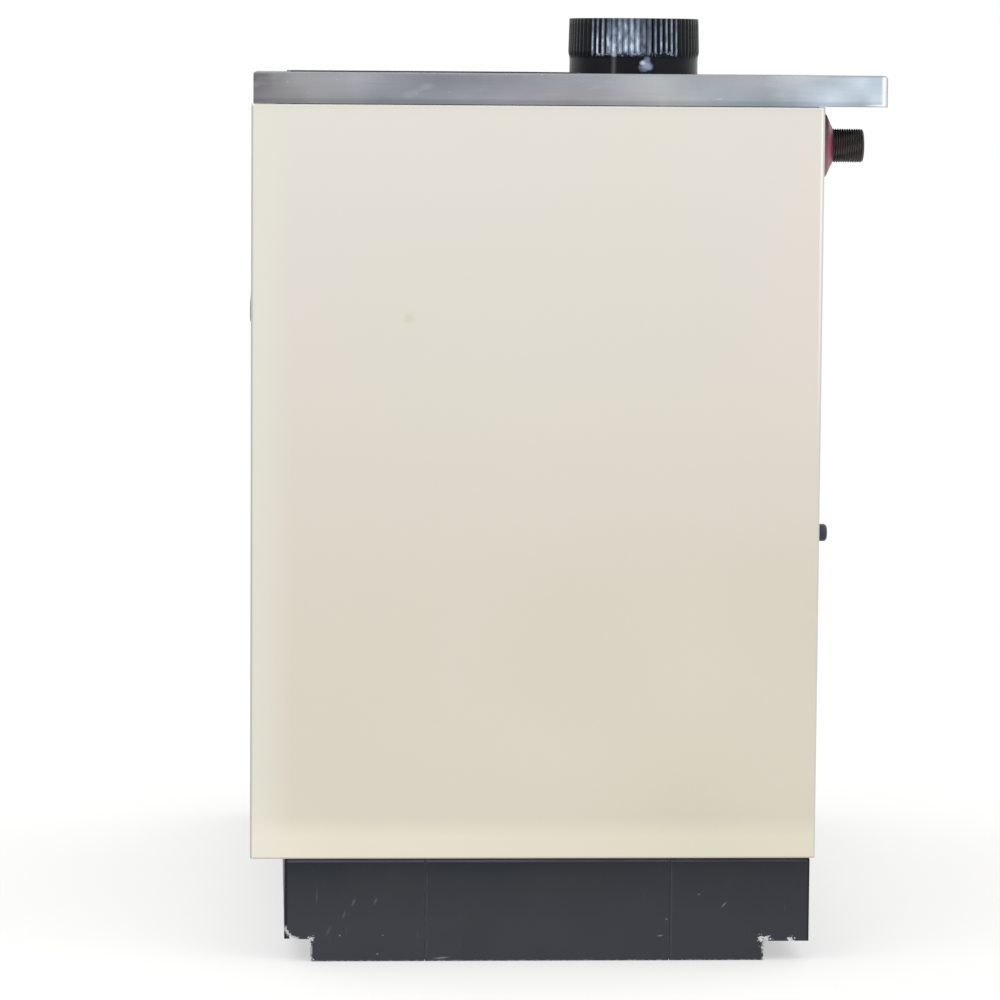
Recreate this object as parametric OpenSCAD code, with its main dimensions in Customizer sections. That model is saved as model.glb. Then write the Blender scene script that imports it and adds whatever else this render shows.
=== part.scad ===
// Solid-fuel central heating stove: a steel boiler body in enamelled panels on a dark plinth,
// under a stainless top frame with a hob plate, a crimped flue collar and two rear pipe stubs.
// Millimetres. X to the right, Y to the back, Z up. The floor is Z = 0.

/* [Body] */
// Width over the outer faces of the two side panels
body_w = 897; // [700:1:1100]
// Depth of the side panels, front edge to back edge
body_d = 540; // [480:1:640]
// Height of the side panels
panel_h = 715; // [640:1:800]
// Thickness of the closed side panels
panel_t = 18; // [12:1:26]
// Radius of the side panels' rounded upright edges
panel_edge_r = 4; // [2:0.5:5.5]
// Thickness of the base tray that the panels stand on
tray_t = 2; // [1.5:0.5:6]
// How far the base tray's edge stands inside the panels' outer faces
tray_inset = 8; // [5:0.5:10]
// How far the base tray's ends stand inside the plinth's front and back
tray_end_inset = 1; // [0:0.5:10]
// Thickness of the back panel
back_t = 2; // [1:0.5:4]
// How far the back panel lies inside the side panels' back edges
back_inset = 2; // [1:0.5:5]

/* [Plinth] */
// Height of the plinth
plinth_h = 99; // [70:1:140]
// Thickness of the plinth's plates
plinth_t = 2; // [1.5:0.5:4]
// Width of the folded top flange of a plinth plate
plinth_flange = 20; // [12:1:30]
// How far the plinth's side faces stand inside the panels' outer faces
plinth_side_inset = 10.5; // [9:0.5:20]
// How far the plinth's front stands behind the panels' front edges
plinth_front_inset = 33; // [20:1:60]
// How far the plinth's back stands inside the panels' back edges
plinth_back_inset = 4; // [2:0.5:20]
// Length of the front side plates, front face to seam
plinth_front_len = 134; // [90:1:170]
// Length of the back side plates, seam to back face
plinth_back_len = 134.5; // [90:0.5:170]
// Width of the seams between the plinth's plates
plinth_seam = 0.8; // [0.5:0.1:2]
// Height of the cut-outs at the plinth's front bottom corners
notch_front_h = 21.5; // [10:0.5:40]
// Height of the cut-outs at the plinth's back bottom corners
notch_back_h = 18.5; // [10:0.5:40]
// Length of the front cut-out
notch_front_len = 25; // [15:1:50]
// Length of the back cut-out
notch_back_len = 43.5; // [15:0.5:60]
// Radius of the front side plate's lower front corner
notch_corner_r = 14; // [6:1:20]

/* [Top frame] */
// Height of the stainless band
frame_h = 29.5; // [22:0.5:45]
// Thickness of the frame's sheet
frame_t = 1.5; // [1:0.5:3]
// How far the frame stands out past each side panel's outer face
frame_side_out = 1.5; // [0.5:0.5:6]
// How far the frame's front stands behind the panels' front edges
frame_front_inset = 2; // [0:0.5:12]
// How far the frame reaches past the panels' back edges
frame_back_out = 59; // [45:1:90]
// Radius of the frame's rear upright corners
frame_rear_r = 5; // [2:0.5:10]
// Shadow gap between the side panels' top edges and the band
frame_gap = 0.5; // [0.5:0.5:4]

/* [Hob] */
// Width of the hob plate
hob_w = 800; // [600:1:840]
// Depth of the hob plate
hob_d = 274; // [240:1:280]
// Thickness of the hob plate
hob_t = 8; // [6:0.5:12]
// How far the plate's surface stands above the frame
hob_proud = 1.2; // [0.5:0.1:3]
// How far the plate's front edge stands behind the frame's front
hob_front_inset = 35; // [25:1:60]
// Running gap round the plate
hob_gap = 1; // [0.5:0.1:3]
// Outer diameter of the hob ring
ring_d = 230; // [200:1:236]
// Diameter of the lid
lid_d = 150; // [110:1:170]
// Width of the ledges that carry the ring and the lid
ledge_w = 7; // [4:0.5:12]
// Gap round the ring and the lid
ring_gap = 0.6; // [0.3:0.1:1.5]
// Distance of the ring's centre from the stove's middle, towards the firebox side
ring_x = 210; // [120:1:260]

/* [Flue collar] */
// Outer diameter of the collar's plain part
flue_d = 130; // [110:1:150]
// Bore of the collar
flue_bore = 121; // [100:0.5:121]
// Height of the collar above the frame
flue_rise = 55.5; // [40:0.5:90]
// Height of the plain part above the frame
flue_plain_h = 19; // [10:0.5:30]
// Distance of the collar's axis from the stove's middle, to the right
flue_x = 105; // [-150:1:200]
// Distance of the collar's axis behind the panels' front edges
flue_y = 386; // [370:1:470]
// Number of crimps round the collar
crimp_count = 68; // [40:1:90]
// Depth of a crimp
crimp_depth = 2; // [1:0.1:3]
// How far the crimps' crests stand out from the plain part
crimp_out = 0.2; // [0:0.1:2.5]
// Depth of the flueway below the hob plate's seat
flueway_depth = 140; // [60:1:200]
// Step under the plain part, where the collar narrows to pass through the frame
flue_step = 1.5; // [0.5:0.1:2]
// Clearance between the collar's neck and the hole in the frame
flue_clear = 0.4; // [0.2:0.1:1]

/* [Pipe stubs] */
// Outer diameter of the pipe thread
pipe_d = 33.25; // [26:0.05:42]
// Bore of the pipes
pipe_bore = 27; // [20:0.5:27]
// How far the pipes reach past the panels' back edges
pipe_out = 55; // [36:0.5:60]
// Length of the chamfer at a pipe's end
pipe_chamfer = 1.5; // [0.5:0.1:2.5]
// How much smaller the pipe's plain shank is than its thread, on the radius
shank_step = 0.6; // [0.3:0.1:1.5]
// Clearance between a pipe's shank and its boss
shank_clear = 0.2; // [0.1:0.1:0.5]
// Outer diameter of the red bosses
boss_d = 62; // [54:0.5:80]
// Diameter of a boss at its outer end
boss_nose_d = 38; // [36:0.5:50]
// How far the straight part of a boss reaches past the panels' back edges
boss_out = 18.5; // [8:0.5:22]
// Length of a boss's cone
boss_cone_len = 6; // [4:0.5:10]
// Distance of the flow pipe from the right side's outer face
flow_in = 150; // [90:1:220]
// Distance of the flow pipe's axis below the side panels' top edges
flow_drop = 38; // [36:1:110]
// Distance of the return pipe from the left side's outer face
return_in = 150; // [90:1:220]
// Height of the return pipe's axis above the floor
return_z = 190; // [160:1:260]
// Clearance round a boss in the back panel
boss_clear = 0.5; // [0.3:0.1:2]

/* [Wall buffers] */
// Diameter of the rubber buffers
buffer_d = 16.5; // [12:0.5:24]
// How far a buffer reaches past the panels' back edges
buffer_out = 11; // [8:0.5:20]
// Chamfer of a buffer's face
buffer_chamfer = 2; // [1:0.5:4]
// Diameter of a buffer's stem in the back panel
buffer_stem_d = 8; // [4:0.5:10]
// Distance of a buffer from its side's outer face
buffer_in = 38; // [32:1:60]
// Height of the buffers above the floor
buffer_z = 410; // [300:1:520]

/* [Doors] */
// How far the door faces stand behind the panels' front edges
face_inset = 23; // [18:0.5:30]
// Thickness of the doors
door_t = 14; // [8:0.5:20]
// Gap round each door
door_gap = 4; // [2:0.5:8]
// Thickness of the dark front plate behind the doors
front_plate_t = 2; // [1:0.5:5]
// Height of the wood drawer's front
drawer_h = 180; // [120:1:220]
// Height of the ash door
ash_door_h = 110; // [80:1:150]
// Height of the fire door
fire_door_h = 255; // [200:1:300]
// Width of the fire door and ash door column
fire_col_w = 356; // [260:1:420]
// Radius of the doors' corners
door_corner_r = 6; // [2:0.5:12]

/* [Grips] */
// Height of the flat bar grips
grip_h = 22; // [16:0.5:30]
// Thickness of the flat bar grips
grip_t = 7; // [5:0.5:9]
// How far the grips' faces stand in front of the side panels' front edges
grip_proud = 1; // [0:0.5:4]
// Length of the oven door's grip
oven_grip_len = 360; // [200:1:420]
// Length of the fire door's grip
fire_grip_len = 240; // [150:1:300]
// Length of the ash door's grip
ash_grip_len = 160; // [100:1:240]
// Length of the drawer's grip
drawer_grip_len = 360; // [200:1:600]
// Distance of a grip's centre below its door's top edge
grip_drop = 41; // [20:1:50]
// Diameter of the posts that carry a grip
post_d = 12; // [8:0.5:16]
// Distance of a post from the grip's end
post_in = 24; // [14:1:40]

/* [Controls] */
// Diameter of the draught regulator's knob
knob_d = 46; // [34:0.5:60]
// How far the knob stands out from the control strip
knob_len = 20; // [12:0.5:22]
// How much smaller the knob's front is than its base, on the radius
knob_taper = 2; // [0.5:0.5:6]
// Distance of the knob from the stove's middle, to the right
knob_x = 360; // [320:1:380]
// Outer diameter of the thermometer's rim
dial_d = 62; // [44:0.5:80]
// How far the thermometer's rim stands out from the control strip
dial_out = 6; // [4:0.5:10]
// Width of the thermometer's rim
dial_rim = 4; // [2:0.5:8]
// How far the thermometer's dial lies behind the front of its rim
dial_depth = 3; // [1:0.5:3.5]
// Distance of the thermometer from the stove's middle, to the right
dial_x = 230; // [180:1:260]
// Diameter of the flue damper's pull
pull_d = 26; // [18:0.5:34]
// How far the flue damper's pull stands out from the control strip
pull_len = 22; // [14:0.5:22]
// Thickness of the pull's disc
pull_disc_t = 11; // [6:0.5:12]
// Diameter of the pull's stem
pull_stem_d = 13; // [8:0.5:16]
// Distance of the pull from the stove's middle, to the right
pull_x = 105; // [60:1:150]

/* [Hidden] */
$fn = 96;

// Overlap used so that a cut runs clean through a face
cut = 1;
// Smallest inside radius of a fold
fold_min_r = 0.5;

// Colours
cream = [0.87, 0.84, 0.78];
anthracite = [0.22, 0.23, 0.26];
black = [0.06, 0.06, 0.07];
stainless = [0.70, 0.72, 0.74];
boss_red = [0.55, 0.18, 0.27];
steel_dark = [0.19, 0.18, 0.17];
dial_white = [0.92, 0.92, 0.90];

// Upright planes, front to back. The origin is under the middle of the whole depth.
total_d = grip_proud + body_d + frame_back_out;
front_y = grip_proud - total_d / 2;
back_y = front_y + body_d;
face_y = front_y + face_inset;
door_back_y = face_y + door_t;
core_front_y = door_back_y + front_plate_t;
back_out_y = back_y - back_inset;
core_back_y = back_out_y - back_t;
frame_front_y = front_y + frame_front_inset;
frame_back_y = back_y + frame_back_out;

// Upright planes, middle to side
side_x = body_w / 2;
inner_x = side_x - panel_t;
frame_x = side_x + frame_side_out;
tray_x = side_x - tray_inset;
plinth_x = side_x - plinth_side_inset;

// Levels
tray_top_z = plinth_h + tray_t;
panel_top_z = tray_top_z + panel_h;
frame_z = panel_top_z + frame_gap;
top_z = frame_z + frame_h;
hob_top_z = top_z + hob_proud;
hob_seat_z = hob_top_z - hob_t;

// Plinth
plinth_front_y = front_y + plinth_front_inset;
plinth_back_y = back_y - plinth_back_inset;
tray_front_y = plinth_front_y + tray_end_inset;
tray_back_y = plinth_back_y - tray_end_inset;
seam_front_y = plinth_front_y + plinth_front_len;
seam_back_y = plinth_back_y - plinth_back_len;

// Hob
hob_front_y = frame_front_y + hob_front_inset;
hob_back_y = hob_front_y + hob_d;
ring_y = (hob_front_y + hob_back_y) / 2;
ledge_t = hob_t / 2;

// Flue
flue_axis_y = front_y + flue_y;
flue_r = flue_d / 2;
neck_r = flue_r - flue_step;
crimp_z = top_z + flue_plain_h;
rim_z = top_z + flue_rise;

// Pipe stubs
flow_x = side_x - flow_in;
return_x = -side_x + return_in;
flow_z = panel_top_z - flow_drop;
pipe_end_y = back_y + pipe_out;
boss_end_y = back_y + boss_out;
nose_end_y = boss_end_y + boss_cone_len;
shank_r = pipe_d / 2 - shank_step;

// Buffers
buffer_x = side_x - buffer_in;
buffer_end_y = back_y + buffer_out;

// Doors: columns and levels
door_left_x = -inner_x + door_gap / 2;
door_right_x = inner_x - door_gap / 2;
fire_right_x = door_left_x + fire_col_w;
oven_left_x = fire_right_x + door_gap;
drawer_z = tray_top_z + door_gap;
ash_z = drawer_z + drawer_h + door_gap;
fire_z = ash_z + ash_door_h + door_gap;
door_top_z = fire_z + fire_door_h;
strip_z = door_top_z + door_gap;
strip_h = panel_top_z - door_gap / 2 - strip_z;
strip_mid_z = strip_z + strip_h / 2;

// Grips
grip_front_y = front_y - grip_proud;
grip_back_y = grip_front_y + grip_t;
fire_grip_x = (door_left_x + fire_right_x) / 2;
oven_grip_x = (oven_left_x + door_right_x) / 2;
upper_grip_z = door_top_z - grip_drop;
ash_grip_z = ash_z + ash_door_h - grip_drop;
drawer_grip_z = drawer_z + drawer_h - grip_drop;
// Each grip: centre along X, height, length
GRIPS = [
    [fire_grip_x, upper_grip_z, fire_grip_len],
    [fire_grip_x, ash_grip_z, ash_grip_len],
    [oven_grip_x, upper_grip_z, oven_grip_len],
    [0, drawer_grip_z, drawer_grip_len]
];

// A box given by its low and high corners
module block(low, high) {
    translate(low) cube(high - low);
}

// A cylinder along Y from y0 to y1, r0 at y0 and r1 at y1
module bar_y(x, z, y0, y1, r0, r1) {
    translate([x, y0, z]) rotate([-90, 0, 0]) cylinder(h = y1 - y0, r1 = r0, r2 = r1);
}

// A flat outline with four round corners, low corner at the origin
module round_outline(w, h, r) {
    translate([r, 0]) square([w - 2 * r, h]);
    translate([0, r]) square([w, h - 2 * r]);
    for (x = [r, w - r], z = [r, h - r]) translate([x, z]) circle(r);
}

// A facing from x0 to x1 and z0 to z1, as thick as a door, with round corners
module facing(x0, x1, z0, z1) {
    translate([x0, door_back_y, z0]) rotate([90, 0, 0])
        linear_extrude(door_t) round_outline(x1 - x0, z1 - z0, door_corner_r);
}

// A closed side panel with rounded upright edges
module side_panel(side) {
    x0 = side > 0 ? inner_x : -side_x;
    color(cream) translate([x0, front_y, tray_top_z])
        linear_extrude(panel_h) round_outline(panel_t, body_d, panel_edge_r);
}

module side_panel_right() { side_panel(1); }

module side_panel_left() { side_panel(-1); }

module back_panel() {
    color(cream) difference() {
        block([-inner_x, core_back_y, tray_top_z], [inner_x, back_out_y, panel_top_z]);
        for (p = [[flow_x, flow_z], [return_x, return_z]])
            bar_y(p[0], p[1], core_back_y - cut, back_out_y + cut,
                boss_d / 2 + boss_clear, boss_d / 2 + boss_clear);
        for (x = [-buffer_x, buffer_x])
            bar_y(x, buffer_z, core_back_y - cut, back_out_y + cut,
                buffer_stem_d / 2, buffer_stem_d / 2);
    }
}

module base_tray() {
    color(black)
        block([-tray_x, tray_front_y, plinth_h], [tray_x, tray_back_y, tray_top_z]);
}

// The firebox, oven and boiler in one closed casing, with the flueway open at the top
module boiler_body() {
    color(black) difference() {
        block([-inner_x, core_front_y, tray_top_z], [inner_x, core_back_y, hob_seat_z]);
        translate([flue_x, flue_axis_y, hob_seat_z - flueway_depth])
            cylinder(h = flueway_depth + cut, r = flue_bore / 2);
    }
}

module front_plate() {
    color(black)
        block([-inner_x, door_back_y, tray_top_z], [inner_x, core_front_y, panel_top_z]);
}

module control_strip() {
    color(cream) facing(door_left_x, door_right_x, strip_z, strip_z + strip_h);
}

module fire_door() {
    color(cream) facing(door_left_x, fire_right_x, fire_z, door_top_z);
}

module ash_door() {
    color(cream) facing(door_left_x, fire_right_x, ash_z, ash_z + ash_door_h);
}

module oven_door() {
    color(cream) facing(oven_left_x, door_right_x, ash_z, door_top_z);
}

module drawer_front() {
    color(cream) facing(door_left_x, door_right_x, drawer_z, drawer_z + drawer_h);
}

// A flat bar with half-round ends
module grip(g) {
    end_x = g[2] / 2 - grip_h / 2;
    color(black) translate([g[0], grip_back_y, g[1]]) rotate([90, 0, 0])
        linear_extrude(grip_t) {
            translate([-end_x, -grip_h / 2]) square([2 * end_x, grip_h]);
            for (x = [-end_x, end_x]) translate([x, 0]) circle(grip_h / 2);
        }
}

module fire_door_grip() { grip(GRIPS[0]); }

module ash_door_grip() { grip(GRIPS[1]); }

module oven_door_grip() { grip(GRIPS[2]); }

module drawer_grip() { grip(GRIPS[3]); }

module grip_posts() {
    color(black) for (g = GRIPS, s = [-1, 1])
        bar_y(g[0] + s * (g[2] / 2 - post_in), g[1], grip_back_y, face_y,
            post_d / 2, post_d / 2);
}

module regulator_knob() {
    color(black)
        bar_y(knob_x, strip_mid_z, face_y - knob_len, face_y,
            knob_d / 2 - knob_taper, knob_d / 2);
}

module thermometer_rim() {
    color(stainless) difference() {
        bar_y(dial_x, strip_mid_z, face_y - dial_out, face_y, dial_d / 2, dial_d / 2);
        bar_y(dial_x, strip_mid_z, face_y - dial_out - cut, face_y + cut,
            dial_d / 2 - dial_rim, dial_d / 2 - dial_rim);
    }
}

module thermometer_dial() {
    color(dial_white)
        bar_y(dial_x, strip_mid_z, face_y - dial_out + dial_depth, face_y,
            dial_d / 2 - dial_rim, dial_d / 2 - dial_rim);
}

module damper_pull() {
    color(black) {
        bar_y(pull_x, strip_mid_z, face_y - pull_len, face_y - pull_len + pull_disc_t,
            pull_d / 2, pull_d / 2);
        bar_y(pull_x, strip_mid_z, face_y - pull_len + pull_disc_t, face_y,
            pull_stem_d / 2, pull_stem_d / 2);
    }
}

// The frame's plan: square front corners, round rear corners, inset all round by t
module frame_outline(t) {
    w = 2 * (frame_x - t);
    d = frame_back_y - frame_front_y - 2 * t;
    r = max(frame_rear_r - t, fold_min_r);
    translate([-w / 2, frame_front_y + t]) {
        square([w, d - r]);
        translate([r, 0]) square([w - 2 * r, d]);
        for (x = [r, w - r]) translate([x, d - r]) circle(r);
    }
}

// The opening for the hob plate, widened by t
module hob_opening(t) {
    w = hob_w + 2 * (hob_gap + t);
    d = hob_d + 2 * (hob_gap + t);
    translate([-w / 2, hob_front_y - hob_gap - t]) square([w, d]);
}

// Folded stainless sheet: a band all round, a deck with the hob opening and the flue hole,
// and a lip turned down round the hob opening that stands on the boiler body
module top_frame() {
    color(stainless) {
        difference() {
            translate([0, 0, frame_z]) linear_extrude(frame_h) frame_outline(0);
            translate([0, 0, frame_z - cut])
                linear_extrude(frame_h - frame_t + cut) frame_outline(frame_t);
            translate([0, 0, frame_z]) linear_extrude(frame_h + cut) hob_opening(0);
            translate([flue_x, flue_axis_y, frame_z])
                cylinder(h = frame_h + cut, r = neck_r + flue_clear);
        }
        translate([0, 0, hob_seat_z]) linear_extrude(top_z - hob_seat_z) difference() {
            hob_opening(frame_t);
            hob_opening(0);
        }
    }
}

module hob_plate() {
    color(steel_dark) difference() {
        block([-hob_w / 2, hob_front_y, hob_seat_z], [hob_w / 2, hob_back_y, hob_top_z]);
        translate([-ring_x, ring_y, hob_seat_z + ledge_t])
            cylinder(h = hob_t, r = ring_d / 2 + ring_gap);
        translate([-ring_x, ring_y, hob_seat_z - cut])
            cylinder(h = hob_t, r = ring_d / 2 - ledge_w);
    }
}

module hob_ring() {
    color(steel_dark) translate([-ring_x, ring_y, 0]) difference() {
        union() {
            translate([0, 0, hob_seat_z + ledge_t])
                cylinder(h = hob_t - ledge_t, r = ring_d / 2);
            translate([0, 0, hob_seat_z])
                cylinder(h = hob_t, r = ring_d / 2 - ledge_w - ring_gap);
        }
        translate([0, 0, hob_seat_z + ledge_t]) cylinder(h = hob_t, r = lid_d / 2 + ring_gap);
        translate([0, 0, hob_seat_z - cut]) cylinder(h = hob_t, r = lid_d / 2 - ledge_w);
    }
}

module hob_lid() {
    color(steel_dark) translate([-ring_x, ring_y, 0]) {
        translate([0, 0, hob_seat_z + ledge_t]) cylinder(h = hob_t - ledge_t, r = lid_d / 2);
        translate([0, 0, hob_seat_z])
            cylinder(h = hob_t, r = lid_d / 2 - ledge_w - ring_gap);
    }
}

// The crimped part's plan: a crest and a valley to each crimp
function crimp_points(crest, valley) = [
    for (i = [0 : 2 * crimp_count - 1])
        let (a = 180 * i / crimp_count, r = i % 2 == 0 ? crest : valley)
            [r * cos(a), r * sin(a)]
];

// Stove pipe: a neck through the frame, a plain part that stands on the frame, and crimps
module flue_collar() {
    crest = flue_r + crimp_out;
    color(black) translate([flue_x, flue_axis_y, 0]) difference() {
        union() {
            translate([0, 0, hob_seat_z]) cylinder(h = top_z - hob_seat_z, r = neck_r);
            translate([0, 0, top_z]) cylinder(h = crimp_z - top_z, r = flue_r);
            translate([0, 0, crimp_z]) linear_extrude(rim_z - crimp_z)
                polygon(crimp_points(crest, crest - crimp_depth));
        }
        translate([0, 0, hob_seat_z - cut])
            cylinder(h = rim_z - hob_seat_z + 2 * cut, r = flue_bore / 2);
    }
}

// A stub standing on the boiler body's back: a plain shank inside the boss, then the
// thread, with a chamfered end
module pipe(x, z) {
    color(steel_dark) difference() {
        union() {
            bar_y(x, z, core_back_y, nose_end_y, shank_r, shank_r);
            bar_y(x, z, nose_end_y, pipe_end_y - pipe_chamfer, pipe_d / 2, pipe_d / 2);
            bar_y(x, z, pipe_end_y - pipe_chamfer, pipe_end_y,
                pipe_d / 2, pipe_d / 2 - pipe_chamfer);
        }
        bar_y(x, z, core_back_y - cut, pipe_end_y + cut, pipe_bore / 2, pipe_bore / 2);
    }
}

// A red boss round a pipe, welded to the boiler body
module boss(x, z) {
    color(boss_red) difference() {
        union() {
            bar_y(x, z, core_back_y, boss_end_y, boss_d / 2, boss_d / 2);
            bar_y(x, z, boss_end_y, nose_end_y, boss_d / 2, boss_nose_d / 2);
        }
        bar_y(x, z, core_back_y - cut, nose_end_y + cut,
            shank_r + shank_clear, shank_r + shank_clear);
    }
}

module flow_pipe() { pipe(flow_x, flow_z); }

module flow_boss() { boss(flow_x, flow_z); }

module return_pipe() { pipe(return_x, return_z); }

module return_boss() { boss(return_x, return_z); }

// A rubber buffer with a stem through the back panel
module wall_buffer(x) {
    color(black) {
        bar_y(x, buffer_z, core_back_y, back_out_y, buffer_stem_d / 2, buffer_stem_d / 2);
        bar_y(x, buffer_z, back_out_y, buffer_end_y - buffer_chamfer,
            buffer_d / 2, buffer_d / 2);
        bar_y(x, buffer_z, buffer_end_y - buffer_chamfer, buffer_end_y,
            buffer_d / 2, buffer_d / 2 - buffer_chamfer);
    }
}

module wall_buffer_right() { wall_buffer(buffer_x); }

module wall_buffer_left() { wall_buffer(-buffer_x); }

// A front or back plate of the plinth, between the side plates, with its flange
module plinth_cross(y_out, s, notch_h) {
    x = plinth_x - plinth_t;
    y_in = y_out - s * plinth_t;
    y_flange = y_out - s * plinth_flange;
    color(anthracite) {
        block([-x, min(y_out, y_in), notch_h], [x, max(y_out, y_in), plinth_h]);
        block([-x + plinth_flange, min(y_out, y_flange), plinth_h - plinth_t],
            [x - plinth_flange, max(y_out, y_flange), plinth_h]);
    }
}

// A side plate of the plinth: a flat outline in Y and Z, with its flange.
// side is 1 on the right and -1 on the left.
module plinth_plate(side, y0, y1) {
    x_plate = side > 0 ? plinth_x - plinth_t : -plinth_x;
    x_flange = side > 0 ? plinth_x - plinth_flange : -plinth_x;
    color(anthracite) {
        translate([x_plate, 0, 0]) rotate([90, 0, 90]) linear_extrude(plinth_t) children();
        block([x_flange, y0, plinth_h - plinth_t], [x_flange + plinth_flange, y1, plinth_h]);
    }
}

// The front side plate's outline: cut out at the bottom, with a round lower front corner
module front_plate_outline() {
    r = notch_corner_r;
    difference() {
        translate([plinth_front_y, 0])
            square([plinth_front_len - plinth_seam / 2, plinth_h]);
        translate([plinth_front_y - cut, -cut])
            square([notch_front_len + cut, notch_front_h + cut]);
        difference() {
            translate([plinth_front_y - cut, notch_front_h - cut]) square([r + cut, r + cut]);
            translate([plinth_front_y + r, notch_front_h + r]) circle(r);
        }
    }
}

// The back side plate's outline: cut out square at the bottom
module back_plate_outline() {
    y0 = seam_back_y + plinth_seam / 2;
    difference() {
        translate([y0, 0]) square([plinth_back_y - y0, plinth_h]);
        translate([plinth_back_y - notch_back_len, -cut])
            square([notch_back_len + cut, notch_back_h + cut]);
    }
}

module plinth_side_front(side) {
    plinth_plate(side, plinth_front_y + plinth_t, seam_front_y - plinth_seam / 2)
        front_plate_outline();
}

module plinth_side_middle(side) {
    y0 = seam_front_y + plinth_seam / 2;
    y1 = seam_back_y - plinth_seam / 2;
    plinth_plate(side, y0, y1) translate([y0, 0]) square([y1 - y0, plinth_h]);
}

module plinth_side_back(side) {
    plinth_plate(side, seam_back_y + plinth_seam / 2, plinth_back_y - plinth_t)
        back_plate_outline();
}

module plinth_front() { plinth_cross(plinth_front_y, -1, notch_front_h); }

module plinth_back() { plinth_cross(plinth_back_y, 1, notch_back_h); }

module plinth_right_front() { plinth_side_front(1); }

module plinth_right_middle() { plinth_side_middle(1); }

module plinth_right_back() { plinth_side_back(1); }

module plinth_left_front() { plinth_side_front(-1); }

module plinth_left_middle() { plinth_side_middle(-1); }

module plinth_left_back() { plinth_side_back(-1); }

side_panel_right();
side_panel_left();
back_panel();
base_tray();
boiler_body();
front_plate();
control_strip();
fire_door();
ash_door();
oven_door();
drawer_front();
fire_door_grip();
ash_door_grip();
oven_door_grip();
drawer_grip();
grip_posts();
regulator_knob();
thermometer_rim();
thermometer_dial();
damper_pull();
top_frame();
hob_plate();
hob_ring();
hob_lid();
flue_collar();
flow_pipe();
flow_boss();
return_pipe();
return_boss();
wall_buffer_right();
wall_buffer_left();
plinth_front();
plinth_back();
plinth_right_front();
plinth_right_middle();
plinth_right_back();
plinth_left_front();
plinth_left_middle();
plinth_left_back();
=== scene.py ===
import math
import random

import bmesh
import bpy
from bpy.props import FloatProperty, FloatVectorProperty, IntProperty, PointerProperty
from mathutils import Matrix, Vector


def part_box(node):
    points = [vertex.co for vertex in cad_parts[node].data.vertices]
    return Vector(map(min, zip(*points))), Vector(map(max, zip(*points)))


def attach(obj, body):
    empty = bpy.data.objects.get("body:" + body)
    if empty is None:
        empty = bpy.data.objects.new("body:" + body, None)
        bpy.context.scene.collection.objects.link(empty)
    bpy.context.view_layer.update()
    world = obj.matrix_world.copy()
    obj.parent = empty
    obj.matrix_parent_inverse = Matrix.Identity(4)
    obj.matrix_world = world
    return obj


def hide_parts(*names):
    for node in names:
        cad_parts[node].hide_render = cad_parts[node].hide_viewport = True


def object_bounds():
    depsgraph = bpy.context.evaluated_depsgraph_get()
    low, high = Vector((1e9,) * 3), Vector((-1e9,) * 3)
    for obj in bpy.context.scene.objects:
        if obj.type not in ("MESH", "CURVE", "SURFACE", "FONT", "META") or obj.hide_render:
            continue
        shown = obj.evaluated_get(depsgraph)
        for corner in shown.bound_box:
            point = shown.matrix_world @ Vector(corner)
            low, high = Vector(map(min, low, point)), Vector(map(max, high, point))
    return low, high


bl_info = {
    "name": "Central heating stove finish",
    "version": (1, 0, 0),
    "blender": (4, 5, 0),
    "location": "3D View > Sidebar > Stove",
    "description": "Enamel, steel and fine detail for a solid-fuel central heating stove",
    "category": "Object",
}

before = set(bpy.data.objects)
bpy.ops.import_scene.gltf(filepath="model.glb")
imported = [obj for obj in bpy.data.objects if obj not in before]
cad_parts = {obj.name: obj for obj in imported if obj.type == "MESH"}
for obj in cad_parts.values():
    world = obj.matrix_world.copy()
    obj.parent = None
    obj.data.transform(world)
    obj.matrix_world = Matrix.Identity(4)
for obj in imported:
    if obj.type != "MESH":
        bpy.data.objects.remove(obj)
CAD_LOW, CAD_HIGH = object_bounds()
MM = 0.001


# ---------------------------------------------------------------- sizes and colours


def tone(red, green, blue):
    """A display colour, 0 to 255, as the linear colour that shaders take."""
    def linear(value):
        """One channel of the colour as a linear share."""
        share = value / 255
        return share / 12.92 if share <= 0.04045 else ((share + 0.055) / 1.055) ** 2.4

    return tuple(linear(value) for value in (red, green, blue))


def length(name, description, millimetres):
    """A length property, given in millimetres."""
    return FloatProperty(
        name=name, description=description, default=millimetres * MM, min=0.0,
        precision=5, unit="LENGTH")


def angle(name, description, degrees):
    """An angle property, given in degrees."""
    return FloatProperty(
        name=name, description=description, default=math.radians(degrees), subtype="ANGLE")


def color(name, description, red, green, blue):
    """A colour property, given as a display colour."""
    return FloatVectorProperty(
        name=name, description=description, default=tone(red, green, blue), subtype="COLOR",
        size=3, min=0.0, max=1.0)


class StoveEnamel(bpy.types.PropertyGroup):
    """The cream enamelled sheet: side panels, doors and back."""
    panel_round: length("Panel corner", "Radius of the side panels' upright edges", 4)
    panel_edge: length("Panel edge", "Radius of the side panels' top and bottom edges", 0.6)
    door_round: length("Door corner", "Radius of the doors' corners", 6)
    door_edge: length("Door edge", "Radius of the doors' front edges", 2.5)
    # The five cream tones are painted light: lighter and cooler near the top, warmer lower down,
    # and lighter again at the foot where floor light falls.
    top: color("Cream, top", "Enamel colour near the hob", 227, 223, 214)
    upper: color("Cream, upper", "Enamel colour at three quarters of the height", 224, 218, 209)
    middle: color("Cream, middle", "Enamel colour at one third of the height", 219, 212, 197)
    low: color("Cream, low", "Enamel colour above the foot of the panels", 217, 211, 194)
    foot: color("Cream, foot", "Enamel colour at the foot of the panels", 231, 224, 206)
    smudge: color("Smudge", "Colour of the small stain on the right panel", 206, 203, 176)
    smudge_size: length("Smudge size", "Radius of the small stain", 6)
    smudge_back: length("Smudge place", "Distance of the stain from the panel's front", 149)
    smudge_drop: length("Smudge drop", "Distance of the stain below the panel's top", 200)


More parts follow.
